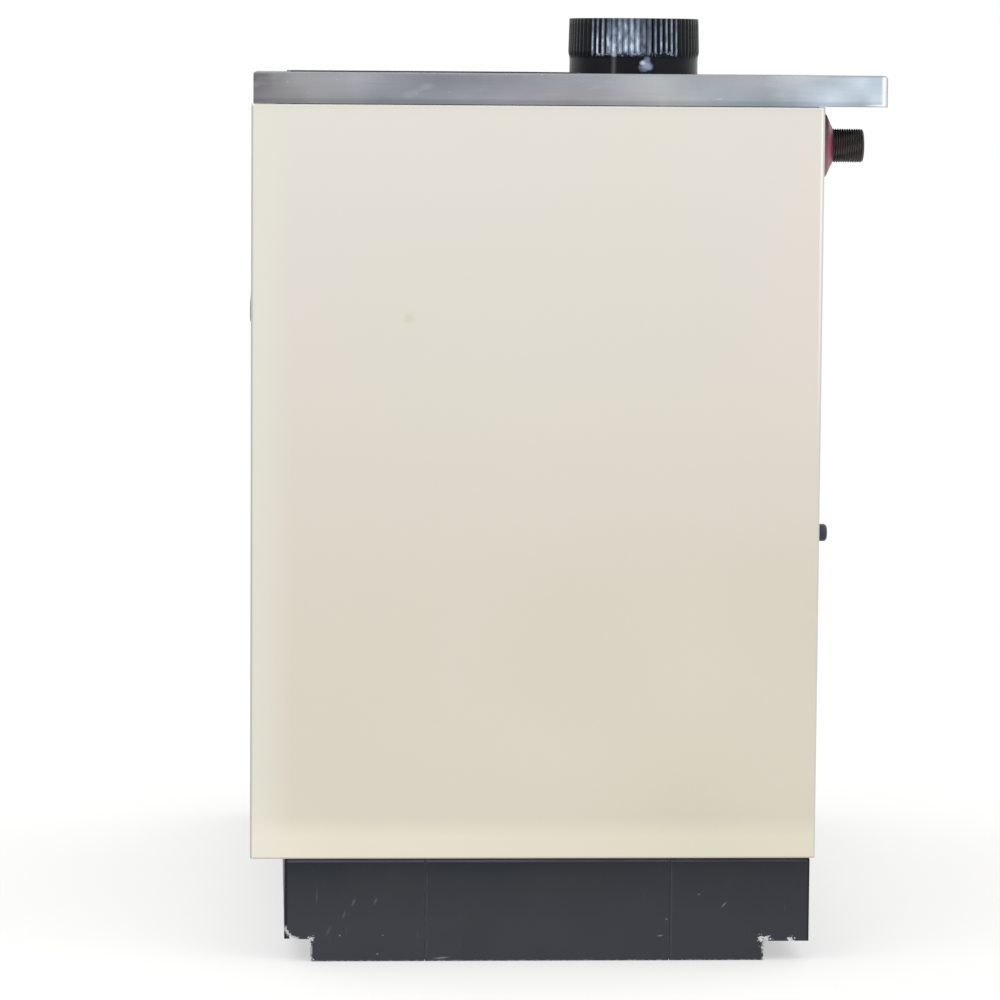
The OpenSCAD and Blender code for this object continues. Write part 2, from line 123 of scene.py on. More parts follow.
class StoveSteel(bpy.types.PropertyGroup):
    """The folded stainless top frame."""
    sheet: length("Sheet", "Thickness of the frame's sheet", 1.5)
    fold: length("Fold", "Outside radius of the frame's folds", 3)
    rear_round: length("Rear corner", "Radius of the frame's rear upright corners", 5)
    hob_gap: length("Hob gap", "Gap between the hob plate and the frame's lip", 1)
    # The front, middle and back tones paint a reflection along the band, grey at the front and
    # pale blue at the back.
    front: color("Steel, front", "Steel colour at the front end", 152, 151, 153)
    middle: color("Steel, middle", "Steel colour at the middle", 160, 163, 170)
    deck: color("Steel, deck", "Steel colour of the flat top", 144, 147, 153)
    back: color("Steel, back", "Steel colour at the back end", 204, 217, 229)


class StoveHob(bpy.types.PropertyGroup):
    """The cast hob plate with its ring and lid."""
    edge: length("Edge", "Radius of the castings' edges", 0.8)
    lift_length: length("Lifting slot", "Length of the lid's lifting slot", 26)
    lift_width: length("Lifting slot width", "Width of the lid's lifting slot", 9)
    groove: length("Groove", "Spacing of the turned marks on the ring and lid", 2.2)
    iron: color("Iron", "Colour of the ground cast iron", 74, 74, 77)


class StoveFlue(bpy.types.PropertyGroup):
    """The crimped flue collar."""
    crimps: IntProperty(
        name="Crimps", description="Number of crimps round the collar", default=68, min=12)
    plain: length("Plain height", "Height of the plain part above the frame", 19)
    crimp_turn: angle("Crimp turn", "How far the crimps are turned round the collar", -1.06)
    depth: length("Crimp depth", "Depth of a crimp", 1.1)
    flare: length("Flare", "How far the ribs swell at their lower ends", 1.4)
    crown: length("Crown", "How much a rib falls off beside its middle", 0.5)
    tip: length("Crimp tip", "Length of a crimp's pointed lower end", 5)
    wall: length("Wall", "Thickness of the pipe's wall", 2.4)
    seam: angle("Seam", "Angle of the pipe's seam from the right side, to the back", 15.1)
    seam_height: length("Seam height", "How far the seam stands out", 0.7)
    black: color("Black", "Colour of the collar's enamel", 12, 15, 22)
    # Colour of the painted reflections on the ribs.
    rub: color("Rub marks", "Colour of the metal rubbed bare on the ribs", 194, 212, 238)


class StovePipes(bpy.types.PropertyGroup):
    """The two pipe stubs with their bosses, and the wall buffers."""
    pitch: length("Pitch", "Pitch of the pipe thread", 2.309)
    thread: length("Thread depth", "Depth of the pipe thread", 1.35)
    chamfer: length("Chamfer", "Chamfer at a pipe's end", 1.6)
    wall: length("Wall", "Thickness of a pipe's wall under the thread", 3.1)
    cone: length("Boss cone", "Length of a boss's cone", 6)
    nose: length("Boss nose", "Radius of a boss at its outer end", 19)
    buffer_chamfer: length("Buffer chamfer", "Chamfer of a buffer's face", 2)
    red: color("Boss red", "Colour of the bosses' paint", 170, 96, 114)
    # Painted sheen: the paler colour above and below the bosses' middle.
    dusty: color("Boss, dusty", "Colour of the bosses above and below the middle", 152, 116, 124)
    dark: color("Pipe", "Colour of the pipes' dark coating", 62, 58, 58)


class StovePlinth(bpy.types.PropertyGroup):
    """The folded plates of the plinth."""
    sheet: length("Sheet", "Thickness of the plates", 2)
    fold: length("Fold", "Outside radius of the top fold", 2.4)
    flange: length("Flange", "Width of the folded top flange", 20)
    relief: length("Relief", "Cut at each end of a top fold", 0.3)
    corner: length("Corner", "Radius of the front plates' lower front corners", 14)
    cut_front: length("Front cut-out", "Length of the cut-outs at the front", 25)
    cut_back: length("Back cut-out", "Length of the cut-outs at the back", 43.5)
    lap: length("Lap", "Width of the laps behind the seams", 14)
    turn_in: length("Return", "Width of the returns at the front plate's ends", 5)
    paint: color("Paint", "Colour of the plinth's paint", 50, 52, 59)
    bare: color("Bare", "Colour of the scuffs and chips", 176, 178, 184)


class StoveControls(bpy.types.PropertyGroup):
    """Grips, knob, thermometer and damper pull."""
    grip_edge: length("Grip edge", "Radius of the grips' edges", 1.6)
    knob_flutes: IntProperty(
        name="Knob flutes", description="Number of flutes round the knob", default=24, min=6)
    flute_depth: length("Flute depth", "Depth of the knob's flutes", 0.9)
    dial_step: IntProperty(
        name="Dial step", description="Degrees between the thermometer's numbers", default=20)
    black: color("Black", "Colour of the grips and the knob", 38, 38, 40)


class StoveStage(bpy.types.PropertyGroup):
    """The camera, the lamps and the floor."""
    distance: length("Distance", "Camera's distance from the right side panel", 4200)
    behind_front: length("Behind the front", "Camera's place behind the stove's front", 16)
    above_top: length("Above the top", "Camera's height above the top frame", 3)
    yaw: angle("Yaw", "How far the camera turns to the stove's back", 3.006)
    pitch: angle("Pitch", "How far the camera looks down", 5.496)
    roll: angle("Roll", "How far the camera leans", 0.422)
    lens: FloatProperty(name="Lens", description="Focal length in millimetres", default=160.93)
    ambient: FloatProperty(name="Ambient", description="Strength of the sky light", default=0.75)
    side_watts: FloatProperty(
        name="Side lamps", description="Power of each side lamp in watts", default=29.0)
    side_width: length("Side lamp width", "Width of each side lamp", 3300)
    side_height: length("Side lamp height", "Height of each side lamp", 3300)
    side_away: length("Side lamp place", "Distance of each side lamp from the middle", 3400)
    side_up: length("Side lamp level", "Height of each side lamp above the floor", 2600)
    top_watts: FloatProperty(
        name="Top lamp", description="Power of the overhead lamp in watts", default=24.0)
    top_size: length("Top lamp size", "Width and depth of the overhead lamp", 3000)
    floor_size: length("Floor", "Radius of the floor", 3000)
    fade_start: length("Fade, start", "Distance from the middle where the floor fades", 800)
    fade_end: length("Fade, end", "Distance from the middle where the floor is gone", 2400)
    floor_cover: FloatProperty(
        name="Floor cover", description="How much of the floor hides the white surround",
        default=0.5, min=0.0, max=1.0)


GROUPS = {
    "stove_enamel": StoveEnamel,
    "stove_steel": StoveSteel,
    "stove_hob": StoveHob,
    "stove_flue": StoveFlue,
    "stove_pipes": StovePipes,
    "stove_plinth": StovePlinth,
    "stove_controls": StoveControls,
    "stove_stage": StoveStage,
}


# ---------------------------------------------------------------- mesh helpers


def place(axis, u, v, w):
    """The point at w along an axis, with u and v along the two others in their order."""
    if axis == "X":
        return Vector((w, u, v))
    if axis == "Y":
        return Vector((u, w, v))
    return Vector((u, v, w))


def middle(node):
    """The middle of a CAD node's box."""
    low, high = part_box(node)
    return (low + high) / 2


def front_middle(node):
    """The x and z of the middle of a CAD node's box."""
    low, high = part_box(node)
    return (low.x + high.x) / 2, (low.z + high.z) / 2


def radius_of(node):
    """Half the width of a CAD node's box, which is the radius of a round one."""
    low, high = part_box(node)
    return (high.x - low.x) / 2


def round_rectangle(low_u, high_u, low_v, high_v, radii, steps=6):
    """A rectangle's outline, anticlockwise from its low corner, with a radius to each corner."""
    corners = (
        (low_u, low_v, 1, 1, 180),
        (high_u, low_v, -1, 1, 270),
        (high_u, high_v, -1, -1, 0),
        (low_u, high_v, 1, -1, 90),
    )
    points = []
    for (u, v, in_u, in_v, start), radius in zip(corners, radii):
        if radius == 0:
            points.append((u, v))
            continue
        for step in range(steps + 1):
            turn = math.radians(start + 90 * step / steps)
            points.append((
                u + in_u * radius + radius * math.cos(turn),
                v + in_v * radius + radius * math.sin(turn)))
    return points


def circle(u, v, radius, steps=64):
    """A circle's outline."""
    turns = [2 * math.pi * step / steps for step in range(steps)]
    return [(u + radius * math.cos(turn), v + radius * math.sin(turn)) for turn in turns]


def prism(outline, axis, low, high, holes=()):
    """A straight solid over a flat outline, with holes through it."""
    form = bmesh.new()
    ends = []
    for level in (low, high):
        loops = [[form.verts.new(place(axis, u, v, level)) for u, v in loop]
                 for loop in (outline, *holes)]
        if holes:
            edges = [form.edges.new((corner, loop[k - 1]))
                     for loop in loops for k, corner in enumerate(loop)]
            bmesh.ops.triangle_fill(form, edges=edges, use_beauty=True)
        else:
            form.faces.new(loops[0])
        ends.append(loops)
    for lower, upper in zip(*ends):
        for k in range(len(lower)):
            form.faces.new((lower[k - 1], lower[k], upper[k], upper[k - 1]))
    return form


def loft(rings, closed=False):
    """Rings of points joined with faces. A ring of one point is a tip."""
    form = bmesh.new()
    rows = [[form.verts.new(point) for point in ring] for ring in rings]
    pairs = list(zip(rows, rows[1:]))
    if closed:
        pairs.append((rows[-1], rows[0]))
    for lower, upper in pairs:
        for k in range(max(len(lower), len(upper))):
            corners = (
                lower[k % len(lower)], lower[(k + 1) % len(lower)],
                upper[(k + 1) % len(upper)], upper[k % len(upper)])
            form.faces.new(list(dict.fromkeys(corners)))
    return form


def turned(profile, axis, centre, steps=64, closed=False):
    """A solid turned on an axis: the profile holds radius and place along the axis."""
    rings = []
    for radius, level in profile:
        if radius == 0:
            rings.append([place(axis, *centre, level)])
        else:
            rings.append([place(axis, u, v, level) for u, v in circle(*centre, radius, steps)])
    return loft(rings, closed)


def merge(target, source):
    """Adds one form to another and frees it."""
    mesh = bpy.data.meshes.new("joined")
    source.to_mesh(mesh)
    source.free()
    target.from_mesh(mesh)
    bpy.data.meshes.remove(mesh)


def make_piece(name, form, finish, nodes=(), sharp=35, outward=None):
    """Turns a form into a piece of the stove, which stands for the CAD nodes named.

    outward is a direction that the largest face of an open sheet looks to."""
    bmesh.ops.recalc_face_normals(form, faces=form.faces)
    if outward is not None:
        largest = max(form.faces, key=lambda face: face.calc_area())
        if largest.normal.dot(Vector(outward)) < 0:
            bmesh.ops.reverse_faces(form, faces=form.faces)
    mesh = bpy.data.meshes.new(name)
    form.to_mesh(mesh)
    form.free()
    mesh.materials.append(finish)
    mesh.shade_smooth()
    mesh.set_sharp_from_angle(angle=math.radians(sharp))
    piece = bpy.data.objects.new(name, mesh)
    bpy.context.scene.collection.objects.link(piece)
    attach(piece, "root")
    if nodes:
        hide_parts(*nodes)
    return piece


def thicken(piece, thickness):
    """Gives an open sheet its thickness, inwards."""
    sheet = piece.modifiers.new("Sheet", "SOLIDIFY")
    sheet.thickness = thickness
    sheet.offset = -1
    sheet.use_even_offset = True


def soften(piece, radius, limit=50, segments=3):
    """Rounds the edges that are sharper than limit, in degrees."""
    edge = piece.modifiers.new("Edge", "BEVEL")
    edge.width = radius
    edge.segments = segments
    edge.limit_method = "ANGLE"
    edge.angle_limit = math.radians(limit)
    edge.use_clamp_overlap = True
    shade = piece.modifiers.new("Shading", "WEIGHTED_NORMAL")
    shade.keep_sharp = True


# ---------------------------------------------------------------- finishes


class Finish:
    """A procedural material, with short calls for the nodes that the finishes share."""

    def __init__(self, name, **constants):
        self.material = bpy.data.materials.new(name)
        self.material.use_nodes = True
        self.tree = self.material.node_tree
        self.shader = self.tree.nodes["Principled BSDF"]
        for socket, value in constants.items():
            self.shader.inputs[socket.replace("_", " ")].default_value = value
        self.where = self.node("ShaderNodeTexCoord").outputs["Object"]
        self.colour = None
        self.bumps = None

    def node(self, kind, inputs=None, **settings):
        """A new node with its settings, and its inputs linked or set."""
        made = self.tree.nodes.new(kind)
        for name, value in settings.items():
            setattr(made, name, value)
        for socket, value in (inputs or {}).items():
            if isinstance(value, bpy.types.NodeSocket):
                self.tree.links.new(value, made.inputs[socket])
            else:
                made.inputs[socket].default_value = value
        return made

    def set(self, socket, value):
        """Links a value to one of the shader's sockets."""
        self.tree.links.new(value, self.shader.inputs[socket])

    def along(self, axis):
        """The place along X, Y or Z."""
        return self.node("ShaderNodeSeparateXYZ", {"Vector": self.where}).outputs[axis]

    def facing(self, axis):
        """How much the surface faces along an axis, from 0 to 1."""
        normal = self.node("ShaderNodeNewGeometry").outputs["Normal"]
        share = self.node("ShaderNodeSeparateXYZ", {"Vector": normal}).outputs[axis]
        return self.math("ABSOLUTE", share)

    def noise(self, scale, detail=3.0, stretch=(1, 1, 1), shift=0.0):
        """Cloudy noise from 0 to 1. A larger stretch along an axis makes it finer there."""
        mapped = self.node("ShaderNodeMapping", {
            "Vector": self.where, "Scale": stretch, "Location": (shift, shift, shift)})
        return self.node("ShaderNodeTexNoise", {
            "Vector": mapped.outputs["Vector"], "Scale": scale, "Detail": detail}).outputs["Fac"]

    def specks(self, scale, size, stretch=(1, 1, 1), keep=0.5, lean=0.0):
        """Small round or drawn-out specks: 1 inside a speck. keep is the share left out."""
        mapped = self.node("ShaderNodeMapping", {
            "Vector": self.where, "Scale": stretch, "Rotation": (lean, 0, 0)})
        cells = self.node("ShaderNodeTexVoronoi", {
            "Vector": mapped.outputs["Vector"], "Scale": scale})
        inside = self.remap(cells.outputs["Distance"], size, size * 0.55)
        lot = self.node("ShaderNodeSeparateXYZ", {"Vector": cells.outputs["Color"]})
        chosen = self.math("GREATER_THAN", lot.outputs["X"], keep)
        return self.times(inside, chosen)

    def math(self, operation, first, second=0.0):
        """One sum on one or two values."""
        return self.node("ShaderNodeMath", {0: first, 1: second}, operation=operation).outputs[0]

    def times(self, first, *others):
        """Values multiplied, such as the shares of a mark in several directions."""
        for other in others:
            first = self.math("MULTIPLY", first, other)
        return first

    def most(self, first, *others):
        """The largest of several values."""
        for other in others:
            first = self.math("MAXIMUM", first, other)
        return first

    def distance(self, first, second):
        """How far two points lie apart."""
        return self.node(
            "ShaderNodeVectorMath", {0: first, 1: second}, operation="DISTANCE").outputs["Value"]

    def size(self, vector):
        """The length of a vector."""
        return self.node(
            "ShaderNodeVectorMath", {0: vector}, operation="LENGTH").outputs["Value"]

    def remap(self, value, low, high, start=0.0, end=1.0):
        """value from low to high becomes start to end, and is held there."""
        return self.node("ShaderNodeMapRange", {
            "Value": value, "From Min": low, "From Max": high, "To Min": start,
            "To Max": end}).outputs["Result"]

    def span(self, axis, low, high, start=0.0, end=1.0):
        """start to end between two places on an axis, and held beyond them."""
        return self.remap(self.along(axis), low, high, start, end)

    def drift(
            self, start, end, scale, detail=3.0, stretch=(1, 1, 1), shift=0.0, edges=(0.3, 0.7)):
        """start to end, following cloudy noise between two of its values."""
        return self.remap(self.noise(scale, detail, stretch, shift), *edges, start, end)

    def near(self, value, centre, width):
        """1 where value is at centre, falling to 0 at width from it."""
        gap = self.math("ABSOLUTE", self.math("SUBTRACT", value, centre))
        return self.remap(gap, 0.0, width, 1.0, 0.0)

    def blend(self, share, first, second, mode="MIX"):
        """Two colours mixed by a share."""
        first, second = (
            value if isinstance(value, bpy.types.NodeSocket) else (*value[:3], 1.0)
            for value in (first, second))
        made = self.node(
            "ShaderNodeMix", {0: share, 6: first, 7: second}, data_type="RGBA", blend_type=mode)
        return made.outputs[2]

    def ramp(self, value, stops):
        """A colour ramp with stops of place and colour, first to last."""
        made = self.node("ShaderNodeValToRGB", {"Fac": value})
        elements = made.color_ramp.elements
        elements[0].position, elements[0].color = stops[0][0], (*stops[0][1], 1.0)
        elements[1].position, elements[1].color = stops[-1][0], (*stops[-1][1], 1.0)
        for position, shade in stops[1:-1]:
            elements.new(position).color = (*shade, 1.0)
        return made.outputs["Color"]

    def bump(self, height, distance):
        """Adds a bump, with the height of a full step in metres."""
        inputs = {"Height": height, "Distance": distance, "Strength": 1.0}
        if self.bumps is not None:
            inputs["Normal"] = self.bumps
        self.bumps = self.node("ShaderNodeBump", inputs).outputs["Normal"]
        self.set("Normal", self.bumps)

    def coat(self, shade, *shares):
        """Lays a colour over the finish's own by the product of the shares."""
        self.colour = self.blend(self.times(*shares), self.colour, shade)

    def tint(self, shade, *shares):
        """Multiplies the finish's own colour, by the product of the shares."""
        self.colour = self.blend(self.times(*shares), self.colour, shade, "MULTIPLY")

    def dim(self, share):
        """Makes the finish's own colour darker or lighter by a share."""
        grey = self.node("ShaderNodeCombineXYZ", {0: share, 1: share, 2: share}).outputs[0]
        self.tint(grey, 1.0)

    def mottle(self, amount, scale, shift=0.0):
        """Makes the finish's own colour a little lighter and darker in patches."""
        self.dim(self.drift(
            1 - amount, 1 + amount, scale, 4.0, shift=shift, edges=(0.25, 0.75)))


def enamel(settings):
    """Cream glossy enamel, with painted light: cooler at the top, warmer below, faintly clouded,
    with one stain.
    """
    low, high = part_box("side_panel_right")
    finish = Finish("enamel_cream", Specular_IOR_Level=0.42, Coat_Weight=0.12, Coat_Roughness=0.2)
    # Painted light: the colour changes with height as light and floor bounce fall on the panels.
    finish.colour = finish.ramp(finish.span("Z", low.z, high.z), [
        (0.0, settings.foot), (0.03, settings.foot), (0.055, settings.low),
        (0.343, settings.middle), (0.742, settings.upper), (1.0, settings.top)])
    # Painted light: a lighter strip along the panels' front edge.
    strip = finish.span("Y", low.y + 10 * MM, low.y + 40 * MM, 0.6, 0.0)
    finish.coat(tone(228, 227, 214), strip)
    # Painted shade: darker towards the back lower part.
    rear_y = finish.span("Y", low.y + 190 * MM, low.y + 430 * MM)
    rear_z = finish.span("Z", low.z + 330 * MM, low.z + 130 * MM)
    finish.tint((0.935, 0.95, 0.9), rear_y, rear_z)
    # Painted light: lighter at the front lower corner.
    corner_y = finish.span("Y", low.y + 90 * MM, low.y)
    corner_z = finish.span("Z", low.z + 80 * MM, low.z + 20 * MM)
    finish.tint((1.07, 1.05, 1.06), corner_y, corner_z)
    finish.mottle(0.008, 2.5)
    pink = finish.drift(0.0, 0.35, 3.0, 1.0, shift=4.0, edges=(0.52, 0.72))
    finish.coat(tone(231, 219, 208), pink)
    green = finish.drift(0.0, 0.3, 2.4, 1.0, shift=9.0, edges=(0.55, 0.75))
    finish.coat(tone(221, 220, 203), green)
    finish.coat(settings.smudge, smudge(finish, settings, low, high))
    enamel_edges(finish, low, high)
    finish.set("Base Color", finish.colour)
    finish.set("Roughness", finish.drift(0.28, 0.36, 5.0, 2.0))
    finish.bump(finish.noise(7.0, 1.0), 0.0008)
    finish.bump(finish.noise(420.0, 2.0), 0.00003)
    return finish.material


def smudge(finish, settings, low, high):
    """The ragged outline of the small stain on the right panel."""
    spot = Vector((high.x, low.y + settings.smudge_back, high.z - settings.smudge_drop))
    ragged = finish.times(finish.noise(300.0), settings.smudge_size)
    gap = finish.math("ADD", finish.distance(finish.where, spot), ragged)
    return finish.remap(gap, settings.smudge_size * 0.4, settings.smudge_size * 1.7, 0.75, 0.0)


def enamel_edges(finish, low, high):
    """Painted shade and highlights on a side panel's edges: a grey line along the front edge, a
    painted highlight near the rear edge high up, grey on the rear edge itself, a pale line along
    the top against the shade under the frame, and a grey line along the foot.
    """
    side = finish.remap(finish.facing("X"), 0.2, 0.5)
    # Painted shade: a grey line along the front edge.
    front = finish.span("Y", low.y + 2.4 * MM, low.y + 1.0 * MM, 0.0, 0.9)
    finish.coat(tone(170, 167, 158), front, side)
    # Painted highlight near the rear edge, high up.
    painted_rear_edge_highlight = finish.near(finish.along("Y"), high.y - 2.9 * MM, 1.6 * MM)
    upper = finish.span("Z", high.z - 330 * MM, high.z - 110 * MM)
    finish.coat(tone(251, 251, 248), painted_rear_edge_highlight, upper, side)
    # Painted shade: grey on the rear edge.
    rear = finish.span("Y", high.y - 2.2 * MM, high.y - 1.2 * MM, 0.0, 0.85)
    finish.coat(tone(205, 203, 200), rear, side)
    # Painted light: a pale line along the top edge, against the shade under the frame.
    crown = finish.span("Z", high.z - 2.4 * MM, high.z - 1.2 * MM, 0.0, 0.8)
    finish.coat(tone(252, 250, 240), crown, side)
    # Painted shade: a grey line along the foot.
    foot = finish.span("Z", low.z + 1.9 * MM, low.z + 0.8 * MM, 0.0, 0.9)
    finish.coat(tone(190, 182, 176), foot, side)


def stainless(settings):
    """Ground and polished stainless sheet, with a painted reflection: greyer at the front and
    paler at the back.
    """
    low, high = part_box("top_frame")
    finish = Finish("steel_ground", Metallic=1.0, Anisotropic=0.35, IOR=2.4)
    clouds = finish.drift(-0.015, 0.015, 7.0, 3.0, (1, 1, 1.6), edges=(0.25, 0.75))
    depth = finish.math("ADD", finish.span("Y", low.y, high.y), clouds)
    steel_band(finish, settings, depth, low, high)
    finish.coat(settings.deck, finish.facing("Z"))
    # Painted shade on the folds, darker where the sheet turns.
    fold = finish.near(finish.facing("X"), 0.68, 0.3)
    finish.tint((0.7, 0.71, 0.73), finish.remap(fold, 0.0, 0.3))
    lines = finish.node("ShaderNodeMix", {
        0: finish.facing("Z"), 2: finish.noise(20.0, 6.0, (1, 1, 45)),
        3: finish.noise(20.0, 6.0, (1, 45, 1))}).outputs[0]
    finish.dim(finish.remap(lines, 0.25, 0.75, 0.95, 1.045))
    finish.mottle(0.04, 34.0, 3.0)
    wipe = finish.drift(0.0, 0.2, 16.0, 5.0, (1, 1, 3), 7.0, edges=(0.58, 0.72))
    finish.coat(tone(214, 219, 226), wipe, finish.remap(finish.facing("Z"), 0.5, 1.0, 1.0, 0.12))
    rubbed = finish.near(depth, 0.73, 0.05)
    scratches = finish.specks(55.0, 0.12, (1, 0.5, 4), 0.45, math.radians(35))
    finish.coat(tone(206, 214, 222), scratches, rubbed, 0.5)
    nicks = finish.specks(60.0, 0.06, (1, 1, 2.2), 0.85)
    finish.coat(tone(232, 236, 240), nicks, 0.35)
    finish.set("Base Color", finish.colour)
    finish.set("Roughness", finish.drift(0.22, 0.36, 24.0, 5.0, (1, 1, 4)))
    finish.bump(lines, 0.00002)
    finish.bump(finish.noise(11.0, 2.0), 0.0005)
    return finish.material


def steel_band(finish, settings, depth, low, high):
    """The band's painted reflection: two rows of tones from front to back, painted highlights at
    the rear end and along the lower edge near it, and grey painted outlines at the rear end.
    """
    # Painted reflection: the tones from front to back stand in for the surround seen in the steel.
    upper = finish.ramp(depth, [
        (0.0, tone(110, 108, 111)), (0.02, tone(121, 119, 122)), (0.034, tone(139, 139, 141)),
        (0.07, tone(157, 157, 159)), (0.16, tone(165, 166, 173)), (0.23, tone(143, 146, 154)),
        (0.3, tone(133, 135, 144)), (0.39, tone(142, 144, 151)), (0.55, settings.middle),
        (0.63, tone(179, 183, 185)), (0.7, tone(163, 168, 174)), (0.8, tone(170, 174, 180)),
        (0.865, tone(182, 190, 198)), (0.9, tone(180, 191, 200)), (0.955, settings.back),
        (0.975, tone(187, 201, 214))])
    lower = finish.ramp(depth, [
        (0.0, tone(130, 128, 132)), (0.06, tone(144, 143, 145)), (0.1, settings.front),
        (0.16, tone(149, 152, 157)), (0.2, tone(138, 141, 149)), (0.31, tone(146, 149, 154)),
        (0.39, tone(155, 156, 164)), (0.5, tone(155, 156, 160)), (0.585, tone(164, 165, 171)),
        (0.65, tone(181, 182, 186)), (0.73, tone(161, 170, 177)), (0.8, tone(155, 164, 170)),
        (0.84, tone(163, 174, 185)), (0.9, settings.back), (0.955, tone(180, 193, 203)),
        (0.975, tone(205, 218, 228))])
    rise = finish.span("Z", low.z + 7 * MM, high.z - 8 * MM)
    finish.colour = finish.blend(rise, lower, upper)
    # Painted shade: darker along the band's lower edge.
    finish.tint((0.79, 0.79, 0.8), finish.span("Z", low.z + 6 * MM, low.z + 3 * MM))
    # Painted highlight: near white at the rear end and along the lower edge near it.
    painted_rear_highlight = tone(250, 251, 253)
    finish.coat(painted_rear_highlight, finish.span("Y", high.y - 7 * MM, high.y - 4.5 * MM))
    painted_lower_highlight = finish.near(finish.along("Z"), low.z + 1.4 * MM, 1.8 * MM)
    finish.coat(painted_rear_highlight, painted_lower_highlight, finish.span("Y", high.y - 26 * MM, high.y - 8 * MM))
    # Painted shade: grey outlines on the rear end and under its lower edge.
    end = finish.span("Y", high.y - 1.4 * MM, high.y - 0.7 * MM)
    under = finish.times(
        finish.span("Z", low.z + 0.9 * MM, low.z + 0.4 * MM),
        finish.span("Y", high.y - 62 * MM, high.y - 56 * MM))
    finish.coat(tone(150, 150, 152), finish.most(end, under))


def plinth_paint(settings):
    """Anthracite paint with scuffs, specks and chipped lower corners, and painted light and shade.
    """
    low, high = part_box("plinth_right_front")
    back_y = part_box("plinth_back")[1].y
    finish = Finish("paint_anthracite", Specular_IOR_Level=0.22)
    # Painted light and shade by height: a little lighter low down, darker under the panels'
    # overhang, and a painted highlight on the top fold.
    finish.colour = finish.ramp(finish.span("Z", low.z, high.z), [
        (0.0, tone(58, 59, 67)), (0.4, tone(55, 56, 63)), (0.62, settings.paint),
        (0.8, tone(44, 48, 54)), (0.9, tone(38, 43, 51)), (0.962, tone(40, 42, 54)),
        (0.976, tone(98, 100, 116)), (1.0, tone(98, 100, 116))])
    # Painted shade: darker towards the back.
    finish.coat(tone(46, 47, 53), finish.span("Y", 0.0, back_y, 0.0, 0.5))
    warm = finish.drift(0.0, 0.4, 12.0, 2.0, shift=2.0, edges=(0.45, 0.7))
    finish.coat(tone(53, 53, 57), warm)
    finish.mottle(0.05, 14.0)
    finish.coat(tone(76, 78, 86), *seam_edges(finish))
    scuffs(finish, settings, low)
    # Painted shade: dark lines on the plates' front and back ends.
    ends = finish.most(
        finish.span("Y", low.y + 3.8 * MM, low.y + 2.0 * MM),
        finish.span("Y", back_y - 2.6 * MM, back_y - 1.2 * MM))
    finish.coat(tone(22, 23, 27), ends, finish.facing("X"), 0.9)
    finish.coat(tone(205, 206, 208), chips(finish, settings))
    finish.set("Base Color", finish.colour)
    finish.set("Roughness", finish.drift(0.36, 0.52, 40.0, 4.0))
    finish.bump(finish.noise(900.0, 2.0), 0.00004)
    finish.bump(finish.noise(16.0, 2.0), 0.001)
    return finish.material


def seam_edges(finish):
    """Lighter, broken lines along the plates' edges at the seams."""
    y = finish.along("Y")
    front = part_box("plinth_right_front")[1].y
    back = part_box("plinth_right_back")[0].y
    lines = finish.most(
        finish.near(y, front + 2.4 * MM, 1.0 * MM), finish.near(y, back + 1.6 * MM, 1.0 * MM))
    return lines, finish.drift(0.1, 0.5, 60.0, edges=(0.35, 0.65))


def scuffs(finish, settings, low):
    """Faint rubs and small specks all over, and single scuffs on the right side's plates."""
    slant = finish.node("ShaderNodeMapping", {
        "Vector": finish.where, "Rotation": (math.radians(-20), 0, 0), "Scale": (1, 6, 1)})
    rubs = finish.node("ShaderNodeTexNoise", {
        "Vector": slant.outputs["Vector"], "Scale": 34.0, "Detail": 3.0}).outputs["Fac"]
    finish.coat(settings.bare, finish.remap(rubs, 0.7, 0.8, 0.0, 0.1))
    finish.coat(settings.bare, finish.specks(110.0, 0.1, keep=0.985), 0.45)
    for place_y, place_z, long, wide, lean, share in (
            (66, 57, 5, 1.5, 65, 0.13), (87, 58, 5, 1.5, 65, 0.11), (57, 45, 5, 1.4, 70, 0.09),
            (42, 29, 7, 2.0, 62, 0.06), (421, 54, 4.5, 0.6, 48, 0.5), (360, 24, 3.5, 0.7, 8, 0.5),
            (366, 40, 1.5, 1.2, 0, 0.3), (397, 64, 1.5, 0.7, 20, 0.35), (94, 25, 1.2, 0.8, 0, 0.4),
            (53, 25, 1.2, 0.9, 0, 0.5), (89, 7, 1.3, 0.9, 0, 0.5), (150, 3, 9, 1.2, 4, 0.35)):
        mark = scuff(finish, low.y + place_y * MM, place_z * MM, long * MM, wide * MM, lean)
        finish.coat(settings.bare, mark, share)


def scuff(finish, at_y, at_z, long, wide, lean):
    """1 inside a soft oval mark on a plate's side, leaning by an angle in degrees."""
    mapped = finish.node("ShaderNodeMapping", {
        "Vector": finish.where, "Location": (0, at_y, at_z),
        "Rotation": (math.radians(lean), 0, 0), "Scale": (1000, long, wide)},
        vector_type="TEXTURE").outputs["Vector"]
    return finish.remap(finish.size(mapped), 1.0, 0.3)


